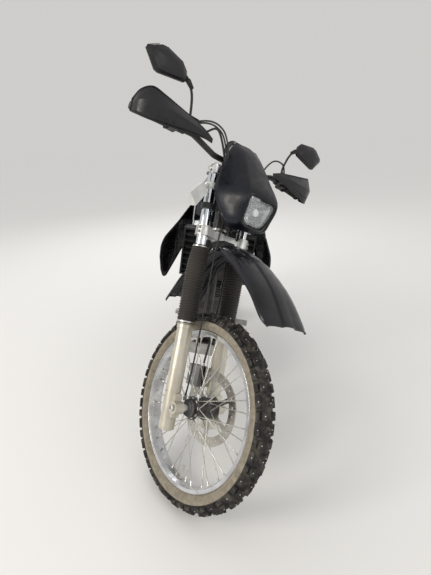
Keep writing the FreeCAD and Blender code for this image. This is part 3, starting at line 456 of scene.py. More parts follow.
def on_fork(name, part, paint="axle_steel", **looks):
    return put(name, part, paint, FORK, "steering", **looks)


def on_body(name, part, paint="axle_steel", **looks):
    return put(name, part, paint, BODY, "root", **looks)


# Wheels

# End, space, tyre radius and width, rim radius and width, hub width and flange radius, blocks round the
# tyre, bevel of a block, and the rows of blocks: degrees from the middle, steps round, width, length
WHEELS = [
    ("front", FORK, 350, 90, 280, 52, 78, 41, 25, 1.4,
     [(0, 0, 26, 30), (33, 0.5, 21, 30), (-33, 0.5, 21, 30), (63, 0, 19, 40), (-63, 0, 19, 40),
      (62, 0.5, 13, 28), (-62, 0.5, 13, 28)]),
    ("rear", REAR, 322, 128, 230, 76, 92, 56, 18, 1.8,
     [(0, 0, 31, 34), (31, 0.5, 28, 32), (-31, 0.5, 28, 32), (62, 0, 24, 40), (-62, 0, 24, 40),
      (62, 0.5, 17, 24), (-62, 0.5, 17, 24)])]
BLOCK_HEIGHT, BLOCK_FOOT, GROOVED_WIDTH = 10.5, 3, 24
SPOKES, SPOKE_LEAN = 36, 34


def spoke_ends(width, flange, rim_radius, rim_width):
    """The hub end, the rim end and the side of each spoke, as the frame has them."""
    reach = rim_radius - 20.5
    for index in range(SPOKES):
        side = 1 if index % 2 else -1
        at_rim = radians(index * 360 / SPOKES)
        at_hub = at_rim + radians(SPOKE_LEAN if (index // 2) % 2 else -SPOKE_LEAN)
        inner = xyz(side * (width / 2 - 11.5), (flange - 6) * cos(at_hub), (flange - 6) * sin(at_hub))
        outer = xyz(side * rim_width * 0.1, reach * cos(at_rim), reach * sin(at_rim))
        yield inner, outer, side


def tread(tip, section, count, rows):
    """Tapered lugs in staggered rows, with a groove in the wide ones."""
    crown = section / 2
    parts = []
    for turn, step, width, length in rows:
        tall = crown - width ** 2 / (8 * crown) - length ** 2 / (8 * tip)
        block = taper(width, length, BLOCK_HEIGHT, 0.84)
        if width > GROOVED_WIDTH:
            cut = length * 0.12
            half = (length - cut) / 2
            shift = half / 2 + cut / 2
            halves = [carried(taper(width, half, BLOCK_HEIGHT, 0.86), Matrix.Translation(
                (0, side * shift, 0))) for side in (1, -1)]
            block = merge(*halves, taper(width, length, 5, 0.95))
        place = Matrix.Translation((0, 0, tip - crown)) @ Matrix.Rotation(radians(turn), 4, "Y")
        block = carried(block, place @ Matrix.Translation((0, 0, tall - BLOCK_HEIGHT)))
        parts.append(around_x(block, count, step * 2 * pi / count))
    return merge(*parts)


def studs(tip, section, count, rows):
    """Small steel pins in the lugs."""
    crown = section / 2
    parts = []
    for turn, step, shift in rows:
        place = Matrix.Translation((0, 0, tip - crown)) @ Matrix.Rotation(radians(turn), 4, "Y")
        pin = carried(rod((0, shift, crown - 6), (0, shift, crown - 0.2), 1.7, 8), place)
        parts.append(around_x(pin, count, step * 2 * pi / count))
    return merge(*parts)


def carcass(tip, section, rim_radius, rim_width):
    """The ribbed walls of a tyre, with a bead line above the rim, and the crown under its lugs."""
    crown = section / 2 - 10
    middle = tip - section / 2
    seat = rim_width / 2 - 4.2

    def over(turn, reach):
        return reach * sin(radians(turn)), middle + reach * cos(radians(turn))
    wall = [(seat - 6, rim_radius - 9.4), (seat, rim_radius - 8), (seat, rim_radius + 0.6),
            (seat + 4, rim_radius + 2), (seat + 6.5, rim_radius + 3.5), (seat + 6.2, rim_radius + 5)]
    foot, brow = Vector(wall[-1]), xyz(crown * 1.02, middle - 4)
    for index in range(1, 15):
        share = index / 15
        swell = sin(share * pi) * section * 0.045
        rib = 0.7 if index % 2 else -0.1
        point = foot.lerp(brow, share)
        wall.append((point.x + swell + rib, point.y - rib * 0.2))
    wall += [over(84, crown), over(72, crown), over(72, crown - 6), (seat - 5, rim_radius + 6)]
    walls = merge(ring(wall), ring([(-side, radius) for side, radius in reversed(wall)]))
    turns = range(-78, 79, 12)
    band = [over(turn, crown + 0.5) for turn in turns] + [over(-turn, crown - 6) for turn in turns]
    return walls, ring(band)


def nipples(width, flange, rim_radius, rim_width):
    """A nipple at each spoke's rim end and a bent head at the hub."""
    parts = []
    for inner, outer, side in spoke_ends(width, flange, rim_radius, rim_width):
        run = (outer - inner).normalized()
        parts.append(lathe(outer - run * 15, outer, [(0, 2.6), (1, 3.2), (8, 3.2), (9, 3.9), (15.2, 3.9)], 8))
        head = inner + xyz(side * 3.4, 0, 0)
        parts.append(lathe(head, head + xyz(side, 0, 0), [(-4, 2.2), (0, 3.8), (1.4, 3.4), (2.2, 1.4)], 8))
    return merge(*parts)


def wheels():
    """Tyres, lugs, studs, spoke ends, rim edges and valves, then the hub's fasteners."""
    pins = [(6, 0, 5), (-6, 0, -5), (31, 0.5, 0), (-31, 0.5, 0), (58, 0, 0), (-58, 0, 0)]
    for end, space, tip, section, rim_radius, rim_width, hub_width, flange, count, bevel, rows in WHEELS:
        def add(name, part, paint, **looks):
            put(f"{end}_{name}", part, paint, space, f"{end}_wheel", **looks)
        walls, crown = carcass(tip, section, rim_radius, rim_width)
        add("tyre_wall", walls, "tyre_wall", replaced=[f"{end}_tyre"])
        add("tyre_crown", crown, "tyre")
        add("tread", tread(tip, section, count, rows), "tyre", bevel=bevel)
        add("studs", studs(tip, section, count, pins), "stud")
        add("nipples", nipples(hub_width, flange, rim_radius, rim_width), "nipple")
        lips = []
        for side in (-1, 1):
            centre = side * (rim_width / 2 - 1.6)
            lips.append(ring([(centre + 2.4 * cos(turn), rim_radius - 1.2 + 2.4 * sin(turn))
                              for turn in angles(10)]))
        add("rim_edges", lips, "rim")
        stem = rod((0, 0, rim_radius - 62), (0, 0, rim_radius - 20), 3.2, 12)
        cap = lathe((0, 0, rim_radius - 70), (0, 0, rim_radius), [(0, 3.4), (1, 4.6), (14, 4.6), (15, 4)], 12)
        nut = lathe((0, 0, rim_radius - 27), (0, 0, rim_radius), [(0, 6), (5, 6), (6, 5)], 6)
        add("valve", carried(merge(stem, cap, nut), Matrix.Rotation(radians(185), 4, "X")), "nipple")
    put("front_disc_screws", circle(cap_screw, 62.2, 44, 30, 5.5, 5), "axle_steel", FORK, "front_wheel")
    drive = lathe((-39, 0, 0), (-62, 0, 0), [(0.2, 30), (6, 31), (9, 27), (14, 26), (17, 20), (17.5, 12)], 40)
    ribs = around_x(slab((-52, -1.5, 14), (-44, 1.5, 28.5)), 10)
    put("front_hub_cover", [drive, ribs], "hub", FORK, "front_wheel")
    put("rear_sprocket_bolts", circle(bolt, 84.2, 64, 36, 6.5, 6), "axle_steel", REAR, "rear_wheel")
    put("rear_disc_screws", circle(cap_screw, -70.2, 44, 30, 5.5, 5), "axle_steel", REAR, "rear_wheel")


# Moulded shells

def shell(name, faces, paint, replaced, thick, sharp, space=FORK, body="steering"):
    """An open moulding with an even wall behind its outer face."""
    made = put(name, faces, paint, space, body, replaced=replaced, sharp=sharp)
    wall = made.modifiers.new("wall", "SOLIDIFY")
    wall.thickness = thick * MM
    wall.offset = -1
    return made


def arc_points(a, b, c, count, shares=None):
    """Points on a smooth curve from a to c that passes through b at its middle."""
    a, b, c = Vector(a), Vector(b), Vector(c)
    handle = b * 2 - (a + c) / 2
    return [a.lerp(handle, t).lerp(handle.lerp(c, t), t) for t in shares or [i / count
        for i in range(count + 1)]]


# Places across the mask's face, from crease to crease: the second and the last but one frame the lens
ACROSS_FACE = (0, 0.05, 0.14, 0.23, 0.32, 0.41, 0.5, 0.59, 0.68, 0.77, 0.86, 0.95, 1)


def mask():
    """A lamp mask with two creases down its face, bulging cheeks and a window for the lens."""
    # height, half width and reach in front, half width and reach at the rear
    rows = [(650, 30, 88, 54, 62), (668, 62, 112, 84, 58), (700, 70, 128, 104, 48), (772, 76, 147, 126, 18),
            (860, 60, 101, 110, 8), (945, 43, 50, 84, 5), (985, 32, 14, 60, 2)]
    made, window = [], []
    for level, half, front, rear_half, rear in eased(rows, 8):
        a, b = xyz(rear_half, -rear, level), xyz(half, -front, level)
        side = (a + b) / 2 + xyz(5, -4, 0)
        cheek = arc_points(a, side, b, 9)[:-1]
        near = b + (cheek[-1] - b).normalized() * 3
        brow = b + xyz(-3.4, -0.6, 0)
        nose = xyz(0, -front - 6, level)
        face = arc_points(brow, nose, xyz(-brow.x, brow.y, level), 12, ACROSS_FACE)
        half_row = cheek + [near]
        made.append(half_row + face + other_side(half_row))
        window.append(668 <= level <= 765)
    wide = len(made[0])
    corners, faces = sheet(made)
    kept = []
    for face in faces:
        row, column = face[0] // wide, face[0] % wide
        if window[row] and window[min(row + 1, len(made) - 1)] and 11 <= column < wide - 12:
            continue
        kept.append(face)
    shell("mask_shell", (corners, kept), "mask", ["headlamp_mask"], 3.2, 24)


def guards():
    """Hand deflectors with a fold along them and a rolled edge."""
    # across, back, bottom, top, how far the fold stands out and the outward direction in degrees
    plan = [(166, -8, 938, 950, 1, 2), (205, -10, 938, 966, 6, 3), (262, -8, 930, 982, 14, 5),
            (324, -2, 921, 998, 21, 8), (378, 6, 916, 1013, 22, 14), (418, 18, 916, 1024, 16, 34),
            (445, 44, 926, 1010, 8, 66), (451, 82, 944, 986, 1, 88)]
    rows, edge = [], []
    for x, y, low, high, fold, turn in eased(plan, 6):
        away = xyz(sin(radians(turn)), -cos(radians(turn)), 0)
        foot, top = xyz(x, y, low), xyz(x, y, high)
        crease = foot.lerp(top, 0.5) + away * fold
        lower = arc_points(foot, foot.lerp(crease, 0.5) + away * fold * 0.04, crease, 4)
        upper = arc_points(crease, crease.lerp(top, 0.5) + away * fold * 0.06, top, 6)
        rows.append(lower + upper[1:])
        edge.append((foot, top))
    shell("handguard_shells", both(sheet(rows)), "black_plastic", ["handguards"], 3.4, 14)
    rim = [top for foot, top in edge] + [foot for foot, top in reversed(edge)]
    rim = [point + xyz(0, 1.6, 0) for point in rim]
    on_fork("handguard_edges", both(sweep(rim, 2.6, 8, 1)), "black_plastic")
    lug = slab((436, 80, 956), (449, 96, 974))
    on_fork("handguard_lugs", both(lug, cap_screw((449, 88, 965), (1, 0, 0), 7, 3)), "control", bevel=2)
    vents = [sweep([(300 + step * 26, -10.5 + step, 936 - step * 3),
                    (315 + step * 26, -9.5 + step, 935 - step * 3)], 2.1, 8, 1) for step in range(4)]
    on_fork("handguard_vents", both(*vents), "grip")


def mirror_heads():
    """Mirror housings with a domed back, their glass, boots and stems."""
    outline = [(303, 1104), (310, 1136), (330, 1156), (404, 1172), (428, 1168), (469, 1140), (472.5, 1128),
        (430, 1076), (416, 1073), (362, 1084), (314, 1094)]
    middle = xyz(390, 0, 1124)

    def shrunk(share, back):
        return [xyz(middle.x + (x - middle.x) * share, back, middle.z + (z - middle.z) * share)
                for x, z in outline]
    rows = []
    for back, share in ((23, 0.93), (23, 0.97), (21, 1.0), (14, 1.0), (4, 0.86), (-3, 0.6), (-6, 0.3),
            (-6.5, 0.05)):
        rows.append(shrunk(share, back))
    head = loft(rows)
    stem = sweep([(255, 32, 975), (254, 30, 1016), (270, 20, 1074), (298, 14, 1110), (322, 12, 1120)],
        4.6, 12, 8)
    on_fork("mirror_bodies", both(head, stem), "black_plastic", replaced=["mirrors"], sharp=24)
    boots = merge(lathe((286, 15, 1098), (312, 13, 1118), [(-14, 5), (-12, 7), (14, 9.5), (20, 8)], 16),
        lathe((255, 32, 970), (254, 30, 1010), [(0, 10), (8, 10), (9, 7.5), (26, 6.5), (28, 5)], 16))
    on_fork("mirror_boots", both(boots), "grip")
    on_fork("mirror_glass", both(prism(shrunk(0.92, 23.6), (0, 0.8, 0))), "mirror")


def fender():
    """A high fender with a raised centre ridge and turned-down sides."""
    # reach ahead of the axle, height, half width, depth of the sides
    rows = [(-232, 392, 80, 30), (-150, 500, 74, 30), (-88, 556, 54, 24), (4, 594, 54, 24), (56, 592, 74, 34),
        (110, 576, 84, 44), (180, 538, 91, 46), (270, 456, 98, 36), (332, 370, 101, 24), (352, 336, 92, 12)]
    made, edges = [], []
    for reach, height, half, depth in eased(rows, 7):
        top = xyz(0, -reach, height)
        down = top.normalized() * -1
        edge = xyz(half, 0, 0) + top + down * depth
        flank = xyz(half * 0.87, 0, 0) + top + down * depth * 0.34
        step, ridge = xyz(31, 0, 0) + top + down * 2, xyz(22, 0, 0) + top - down * 4
        side = arc_points(edge, flank, step, 10)
        crown = arc_points(ridge, top - down * 5.5, xyz(-ridge.x, ridge.y, ridge.z), 6)
        made.append(side + crown + other_side(side))
        edges.append(edge)
    shell("fender_shell", sheet(made), "fender", ["front_fender"], 3.4, 22)
    lip = sweep([edge + xyz(-1, 0, 0) for edge in edges], 2.2, 8, 1)
    front = sweep(made[-1], 2.2, 8, 1)
    on_fork("fender_lips", [both(lip), front], "fender")
    mount = slab((-28, -8, 592), (28, 58, 617.4))
    bolts = [bolt((side * 16, 14 + turn * 14, 592), (0, 0, -1), 5, 5) for side in (-1, 1) for turn in (0, 2)]
    on_fork("fender_mount", mount, "fender", bevel=2)
    on_fork("fender_bolts", bolts)


def shrouds():
    """Flaring panels beside the radiators, with rounded front corners and a rolled edge."""
    # place, half width at the bottom and the top, bottom, top
    plan = [(-60, 150.6, 152.4, 800, 950), (-250, 182, 186, 715, 884), (-405, 198, 224, 668, 826)]
    rows = []
    for first, last in zip(plan, plan[1:]):
        for step in range(14):
            share = step / 13
            place, low_half, high_half, low, high = (a + (b - a) * share for a, b in zip(first, last))
            turn = min(1, max(0, (-345 - place) / 60))
            inset = 52 * (1 - sqrt(1 - turn ** 2))
            levels = [low + inset + (high - low - 2 * inset) * index / 8 for index in range(9)]
            rows.append([xyz(low_half + (high_half - low_half) * (level - low) / (high - low), place, level)
                         for level in levels])
    shell("shroud_shells", both(sheet(rows)), "shroud", ["shrouds"], 3.6, 30, BODY, "root")
    edge = [row[0] for row in rows] + [row[-1] for row in reversed(rows)]
    on_body("shroud_edges", both(sweep([point - xyz(1.8, 0, 0) for point in edge], 2.8, 8, 1)), "shroud")


def lamp_case():
    """The bowl behind the lens, its bracket and the two rings round the fork tubes."""
    back = [(-50, 748), (-50, 700), (-38, 690), (38, 690), (50, 700), (50, 748), (38, 758), (-38, 758)]
    front = [(-64, 752), (-60, 690), (-44, 674), (44, 674), (60, 690), (64, 752), (54, 762), (-54, 762)]
    corners, faces = loft([[xyz(x, -104 - (z - 674) * 0.25, z) for x, z in front],
                           [xyz(x * 1.02, -92 - (z - 674) * 0.22, z) for x, z in front],
                           [xyz(x, -62, z) for x, z in back],
                           [xyz(x * 0.7, -50, 724 + (z - 724) * 0.7) for x, z in back]])
    open_bowl = corners, faces[:-2] + faces[-1:]
    parts = [open_bowl, slab((-75, -58, 716), (75, -46, 740))]
    for side in (-1, 1):
        x = side * 75
        parts.append(slab((x - 6, -58, 716), (x + 6, 14, 740)))
        parts.append(standing(side * 96, 38, [(716, 21), (716.5, 25.5), (739.5, 25.5), (740, 21)], 32))
    on_fork("lamp_case", parts, "lamp_body", replaced=["headlamp"], sharp=40)


def cables():
    """The speedometer's cable and the front brake's hose, led along the fork."""
    speed = [(-49, 24, 30), (-66, -6, 120), (-66, -12, 250), (-62, -10, 520), (-50, -8, 700), (-40, -2, 850),
        (-37, 10, 926)]
    hose = [(-240.7, 21.3, 961.8), (-192.7, 13.3, 969.8), (-150, -10, 990), (-86, 1.5, 900), (-74, 1, 800),
        (-38, 8, 690), (46, 2, 666), (76, 60, 616), (80, 80, 540), (80, 82, 400), (72, 84, 250),
        (62, 86, 144)]
    on_fork("speedometer_cable", sweep(speed, 3, 10, 10), "hose")
    on_fork("brake_hose", sweep(hose, 4, 10, 10), "hose")
    ends = merge(lathe((-49, 24, 22), (-51, 20, 50), [(0, 6.5), (14, 6.5), (15, 4.6), (26, 4.2)], 12),
                 lathe((62, 86, 138), (62.6, 86, 150), [(0, 7), (6, 7), (7, 5.4), (14, 5.2)], 12))
    on_fork("cable_ends", ends)


# Fork and what it carries

def gaiter():
    """A bellows of fine ribs that narrows over its last quarter."""
    low, high, ribs = 293.0, 582.0, 27
    pitch = (high - low - 24) / ribs

    def reach(z):
        share = (z - low) / (high - low)
        return 33.5 + 2.6 * sin(min(1, share * 1.5) * pi / 2) - 9 * max(0, (share - 0.72) / 0.28) ** 1.4
    profile = [(low, 28.5), (low, 33), (low + 3, 34.2), (low + 9, 34.2), (low + 12, 32)]
    for rib in range(ribs):
        start = low + 12 + rib * pitch
        for share, depth in ((0.08, 3.1), (0.3, 0.7), (0.5, 0), (0.7, 0.7), (0.92, 3.1)):
            z = start + share * pitch
            profile.append((z, reach(z) + 1.8 - depth))
    profile += [(high - 12, 27.4), (high - 9, 28.4), (high - 2, 28.4), (high, 27), (high, 22)]
    return standing(*TUBE, profile, 48)


def fork_details():
    """Gaiters, clips, seal holders, caps, clamp screws and the fasteners at the axle."""
    on_fork("gaiters", both(gaiter()), "gaiter", replaced=["fork_gaiters"], sharp=70)
    clips = merge(standing(*TUBE, [(296, 34), (296.4, 35.2), (301.6, 35.2), (302, 34)], 48),
                  standing(*TUBE, [(573, 27), (573.4, 29.2), (577.6, 29.2), (578, 27)], 40))
    on_fork("gaiter_clips", both(clips))
    collar = standing(*TUBE, [(273, 28.2), (275, 30.2), (288, 30.2), (290.5, 28.2)], 48)
    on_fork("seal_holders", both(collar), "fork_leg")
    caps = merge(standing(*TUBE, [(886, 20), (890, 20), (892, 18), (892, 12), (897, 12), (898, 11)], 6),
                 standing(*TUBE, [(884, 19.8), (889.5, 19.8), (890, 18)], 32))
    on_fork("fork_caps", both(caps))
    pinch = []
    for z in (628, 644, 859, 875):
        for side in (-1, 1):
            at = xyz(side * 122, 28, z)
            pinch.append(rod(at + xyz(0, 2, 0), at + xyz(0, 18, 0), 4.4))
            pinch.append(cap_screw(at + xyz(0, 1, 0), (0, -1, 0), 6.5, 6))
    on_fork("pinch_screws", pinch)
    holder = [cap_screw((side, y, 944.4), (0, 0, 1), 5.6, 6) for side in (-46, 46) for y in (30, 60)]
    on_fork("bar_clamp_screws", holder)
    nut = merge(standing(0, 66, [(892, 17), (894, 18.6), (897, 18.6), (898, 16)], 40),
                standing(0, 66, [(897, 14), (906, 14), (908, 11)], 6))
    on_fork("stem_nut", nut)
    # lower legs: axle pinch nuts, drain screws and the cap over the axle's hollow end
    low = []
    for side in (-1, 1):
        for shift in (-14, 14):
            low.append(bolt((side * 96 + shift * 0.4, 16, -20 + shift * 1.6), (0, -1, -0.2), 5, 7))
        low.append(cap_screw((side * 122.5, 40, 52), (side, 0, 0), 4.5, 3))
    low.append(lathe((-118, 0, 0), (-126, 0, 0), [(0, 12), (5, 12), (6, 10), (6, 6), (1, 5.4)], 6))
    low.append(lathe((127, 0, 0), (133, 0, 0), [(-1, 12.5), (4, 12.5), (5.5, 10)], 6))
    on_fork("leg_fasteners", low)


LENS_SLOPE = -32.5 / 93


def headlight():
    """Reflector, bulb and fluted lens in the mask's opening."""
    def at(x, z, step):
        return xyz(x, -111 + LENS_SLOPE * (z - 670) + step, z)

    def outline(grow, step=0.0):
        low, high = 670 - grow, 763 + grow
        narrow, wide = 52 + grow, 65 + grow
        half = [(0, low), (narrow - 26, low), (narrow - 10, low + 5), (narrow, low + 20), (wide, high - 20),
                (wide - 2, high - 6), (wide - 12, high), (20, high), (0, high)]
        return [at(x, z, step) for x, z in half] + [at(-x, z, step) for x, z in reversed(half[1:-1])]
    face = outline(-1.5)
    middle = sum(face, Vector()) / len(face)
    rows = [[point + xyz(0, 12, 0) for point in face], face]
    for share, bulge in ((0.9, 3), (0.7, 6), (0.45, 8), (0.2, 9.2), (0.03, 9.5)):
        rows.append([middle.lerp(point, share) + xyz(0, -bulge, 0) for point in face])
    lens = loft(rows)
    on_fork("lamp_glass", lens, "lamp_glass", sharp=50)
    bowl = []
    for share, deep in ((1.0, 10), (0.93, 14), (0.8, 30), (0.62, 46), (0.42, 57), (0.2, 62), (0.06, 63)):
        bowl.append([middle.lerp(point, share) + xyz(0, deep, 0) for point in outline(-5)])
    on_fork("lamp_reflector", grid(bowl), "reflector", sharp=60)
    bulb = merge(lathe(middle + xyz(0, 60, 0), middle + xyz(0, 14, 0),
        [(0, 7), (10, 7), (11, 5.5), (30, 5.5), (36, 4.6), (38, 1)], 20),
        lathe(middle + xyz(0, 26, 0), middle + xyz(0, 10, 0), [(0, 13), (10, 14.5), (16, 13.5), (17, 4)], 28))
    on_fork("lamp_bulb", bulb, "bulb")
    surround = [outline(1.5, -1.0), outline(3.5, -5.0), outline(7.5, -5.0), outline(9.5, 1.5)]
    on_fork("lamp_surround", grid(surround), "lamp_body", sharp=50)


def cockpit():
    """Ribbed grips, bar ends, levers, switches, the brake reservoir and the control cables."""
    def bar_at(along):
        return xyz(440 - 0.985 * along, 88 - 0.171 * along, 965 - 0.0175 * along)
    away = (bar_at(0) - bar_at(60)).normalized()
    grip = [(0, 17), (1, 19), (4, 19.5), (6, 18)]
    for rib in range(22):
        start = 8 + rib * 5
        grip += [(start, 16.2), (start + 0.6, 17.3), (start + 3.2, 17.3), (start + 3.8, 16.2)]
    grip += [(119, 17), (120, 22), (124, 22.5), (125, 17)]
    on_fork("grip_ribs", both(lathe(bar_at(0), bar_at(125), grip, 28)), "grip", sharp=60)
    weight = lathe(bar_at(0) + away, bar_at(0) + away * 20, [(-2, 11), (0, 13.5), (11, 13.5), (13, 12),
        (13, 5)], 24)
    on_fork("bar_ends", both(weight), "control")
    perch, switches = bar_at(180), bar_at(148)
    lever = sweep([perch + xyz(-2, -30, -3), perch + xyz(30, -44, -2), bar_at(96) + xyz(0, -52, -2),
                   bar_at(40) + xyz(0, -50, 0), bar_at(8) + xyz(0, -44, 2)], (6.4, 4.4), 10, 8, 0.62)
    ball = lathe(bar_at(10) + xyz(-6, -44.5, 2), bar_at(10) + xyz(14, -43, 2),
                 [(0, 2), (2, 5.4), (7, 6.6), (12, 5.4), (14, 2)], 16)
    on_fork("levers", both(lever, ball), "lever")
    body = []
    for side in (-1, 1):
        at = xyz(side * perch.x, perch.y, perch.z)
        body.append(slab((at.x - 13, at.y - 37, at.z - 10), (at.x + 13, at.y - 13, at.z + 9)))
        body.append(bolt((at.x, at.y - 30, at.z + 8), (0, 0, 1), 4.5, 5))
        body.append(carried(slab((-15, -19, -17), (15, 19, 17)), Matrix.Translation(
            (side * switches.x, *switches.yz))))
    clamp = lathe(bar_at(167), bar_at(193), [(0, 12), (0.5, 15.5), (25.5, 15.5), (26, 12)], 28)
    on_fork("perches", [*body, both(clamp)], "control", bevel=3, replaced=["hand_controls"])
    reservoir = carried(merge(slab((-26, -15, -13), (26, 17, 13)), slab((-27, -16, 13), (27, 18, 17))),
                        Matrix.Translation((-perch.x + 14, perch.y - 30, perch.z + 22)))
    screws = [cap_screw((-perch.x + 14 + side * 21, perch.y - 29 + turn * 11, perch.z + 39), (0, 0, 1),
        2.6, 1.6) for side in (-1, 1) for turn in (-1, 1)]
    on_fork("brake_reservoir", reservoir, "control", bevel=2)
    on_fork("reservoir_screws", screws)
    buttons = []
    for side, shift in ((1, 0), (1, 14), (-1, 4)):
        buttons.append(standing(side * switches.x, switches.y - 2,
                                [(978, 5 - shift * 0.1), (984, 5 - shift * 0.1), (985, 3.4)], 16))
    on_fork("switch_buttons", buttons, "grip")
    # cables loop forward from the perches and dive behind the mask
    clutch = [perch + xyz(-4, -42, 2), xyz(205, -16, 1000), xyz(150, -16, 996), xyz(108, -14, 948),
              xyz(90, -10, 894), xyz(82, 2, 850)]
    gas = [xyz(-switches.x + 18, switches.y - 18, 962), xyz(-196, 4, 1000), xyz(-140, -12, 990),
           xyz(-106, -14, 944), xyz(-90, -10, 892), xyz(-82, 2, 848)]
    second = [point + xyz(2, -7, 7) for point in gas]
    on_fork("control_cables", [sweep(route, 3.2, 10, 8) for route in (clutch, gas, second)], "hose")
    boots = merge(lathe(clutch[0], clutch[1], [(-2, 5.5), (12, 5), (26, 3.6), (28, 3)], 14),
                  lathe(gas[0], gas[1], [(-2, 5), (10, 4.6), (20, 3.6), (22, 3)], 14))
    on_fork("cable_boots", boots, "grip")


def dials():
    """Faces, needles and rims of the two instruments, with plain ticks."""
    tilt = radians(62)
    way = xyz(0, sin(tilt), cos(tilt))
    flat, high = frame_along(way)
    rims, faces, marks, needles = [], [], [], []
    for side in (-1, 1):
        centre = xyz(side * 37, 16, 968) + way * 22
        rims.append(lathe(centre, centre + way, [(-1, 30.6), (3, 31), (4.5, 29.5), (4.5, 27), (0.5, 26.5)],
            48))
        faces.append(lathe(centre, centre + way, [(0.2, 27), (0.6, 27)], 48))
        for step in range(11):
            turn = radians(-130 + step * 26)
            ray = flat * sin(turn) + high * cos(turn)
            marks.append(sweep([centre + way + ray * 20, centre + way + ray * 25], 0.7, 4, 1))
        ray = flat * sin(-2.2) + high * cos(-2.2)
        needles.append(sweep([centre + way * 2 - ray * 5, centre + way * 2 + ray * 20], (1.3, 0.5), 6, 1))
        needles.append(lathe(centre, centre + way, [(0.5, 4), (3, 4), (3.6, 3)], 16))
    for name, parts, paint in (("rims", rims, "control"), ("faces", faces, "dial"), ("marks", marks, "mark"),
                               ("needles", needles, "needle")):
        on_fork("dial_" + name, parts, paint)


# Body, engine and drive

def eased(rows, steps):
    """Rows of numbers joined by a smooth line."""
    ends = [[2 * a - b for a, b in zip(rows[0], rows[1])]] + list(rows)
    ends.append([2 * a - b for a, b in zip(rows[-1], rows[-2])])
    made = [[between(*four, step / steps) for four in zip(*ends[index - 1:index + 3])]
            for index in range(1, len(ends) - 2) for step in range(steps)]
    return made + [list(rows[-1])]


SEAT_RIB = 26


def seat():
    """A crowned cushion with a sewn edge along each side and ribs across its middle."""
    rows = [(101, 868, 934, 60, 46, 3, 7), (190, 838, 887, 96, 66, 4, 9), (340, 836, 875, 112, 88, 4, 8),
            (500, 842, 891, 112, 92, 4, 8), (680, 866, 915, 98, 78, 4, 7), (789, 882, 905, 72, 56, 2, 4)]
    made = []
    lines = eased(rows, 12)
    for index, (back, low, high, wide, narrow, bulge, crown) in enumerate(lines):
        end = min(index, len(lines) - 1 - index)
        pull = 3.0 * max(0, 1 - end / 2.0)
        side = []
        for step in range(11):
            t = step / 10
            x = wide + (narrow - wide) * t + bulge * 2.2 * t * (1 - t) * 2 - pull
            side.append((x, low + (high - low) * t))
        side[-1] = (side[-1][0] - 1.6, side[-1][1] - 1.8)
        top = []
        for step in range(1, 10):
            t = step / 10
            seam = 1.8 if step == 1 else 0
            rib = 1.1 * cos((back - rows[0][0]) / SEAT_RIB * 2 * pi) if 160 < back < 720 and step > 1 else 0
            top.append((narrow * (1 - t) - seam * 0.2, high + crown * sin(t * pi / 2) - seam
                + rib * 0.5 - pull))
        half = [(0, low + 1)] + [(wide * 0.6, low + 0.5)] + side + top
        crest = high + crown - pull
        whole = half + [(0, crest)] + [(-x, z) for x, z in reversed(half[1:])]
        made.append([xyz(x, back, z) for x, z in whole])
    cushion = on_body("seat_cushion", loft(made), "seat_cover",
                  replaced=["seat"], sharp=75)
    stitch = []
    for side in (-1, 1):
        line = [xyz(side * (row[4] - 1.4), row[0], row[2] + 0.2) for row in eased(rows, 6)]
        stitch.append(sweep(line, 1.1, 6, 1))
    on_body("seat_piping", stitch, "grip")


def links():
    """Every link of the chain: two plates and a roller, inner and outer in turn."""
    pitch = 15.875
    front, rear = xyz(80, 100, 405), xyz(80, 745, 322)
    small, large = (pitch / (2 * sin(pi / teeth)) for teeth in (15, 43))
    run = rear - front
    slope = atan2(run.z, run.y)
    spread = asin((large - small) / run.length)
    straight = run.length * cos(spread)
    rear_arc = (pi + 2 * spread) * large
    total = straight + rear_arc + straight + (pi - 2 * spread) * small
    count = 2 * round(total / pitch / 2)

    def point(centre, radius, turn):
        return centre + xyz(0, radius * cos(turn), radius * sin(turn))
    up, down = slope + pi / 2 + spread, slope - pi / 2 - spread

    def at(along):
        along %= total
        if along < straight:
            return point(front, small, up).lerp(point(rear, large, up), along / straight)
        along -= straight
        if along < rear_arc:
            return point(rear, large, up - along / large)
        along -= rear_arc
        if along < straight:
            return point(rear, large, down).lerp(point(front, small, down), along / straight)
        return point(front, small, down - (along - straight) / small)
    roller = [(0, 1.8), (0.6, 2.5), (3, 2.5), (3, 5), (13, 5), (13, 2.5), (15.4, 2.5), (16, 1.8)]
    made = []
    for index in range(count):
        start, end = at(total * index / count), at(total * (index + 1) / count)
        way = (end - start).normalized()
        flat = xyz(1, 0, 0).cross(way)
        reach = 5.6 if index % 2 else 4.2
        outline = []
        for centre, sign in ((start, 1), (end, -1)):
            for step in range(7):
                turn = sign * pi / 2 + pi * step / 6
                outline.append(centre + way * cos(turn) * 6.6 + flat * sin(turn) * 6.6)
            outline.append((start + end) / 2 - flat * 4.6 * sign)
        for side in (-1, 1):
            shift = xyz(side * reach, 0, 0)
            made.append(prism([corner + shift for corner in outline], (side * 1.5, 0, 0)))
        made.append(lathe(start - xyz(8, 0, 0), start, roller, 10))
    on_body("chain_links", made, "chain", replaced=["chain"])


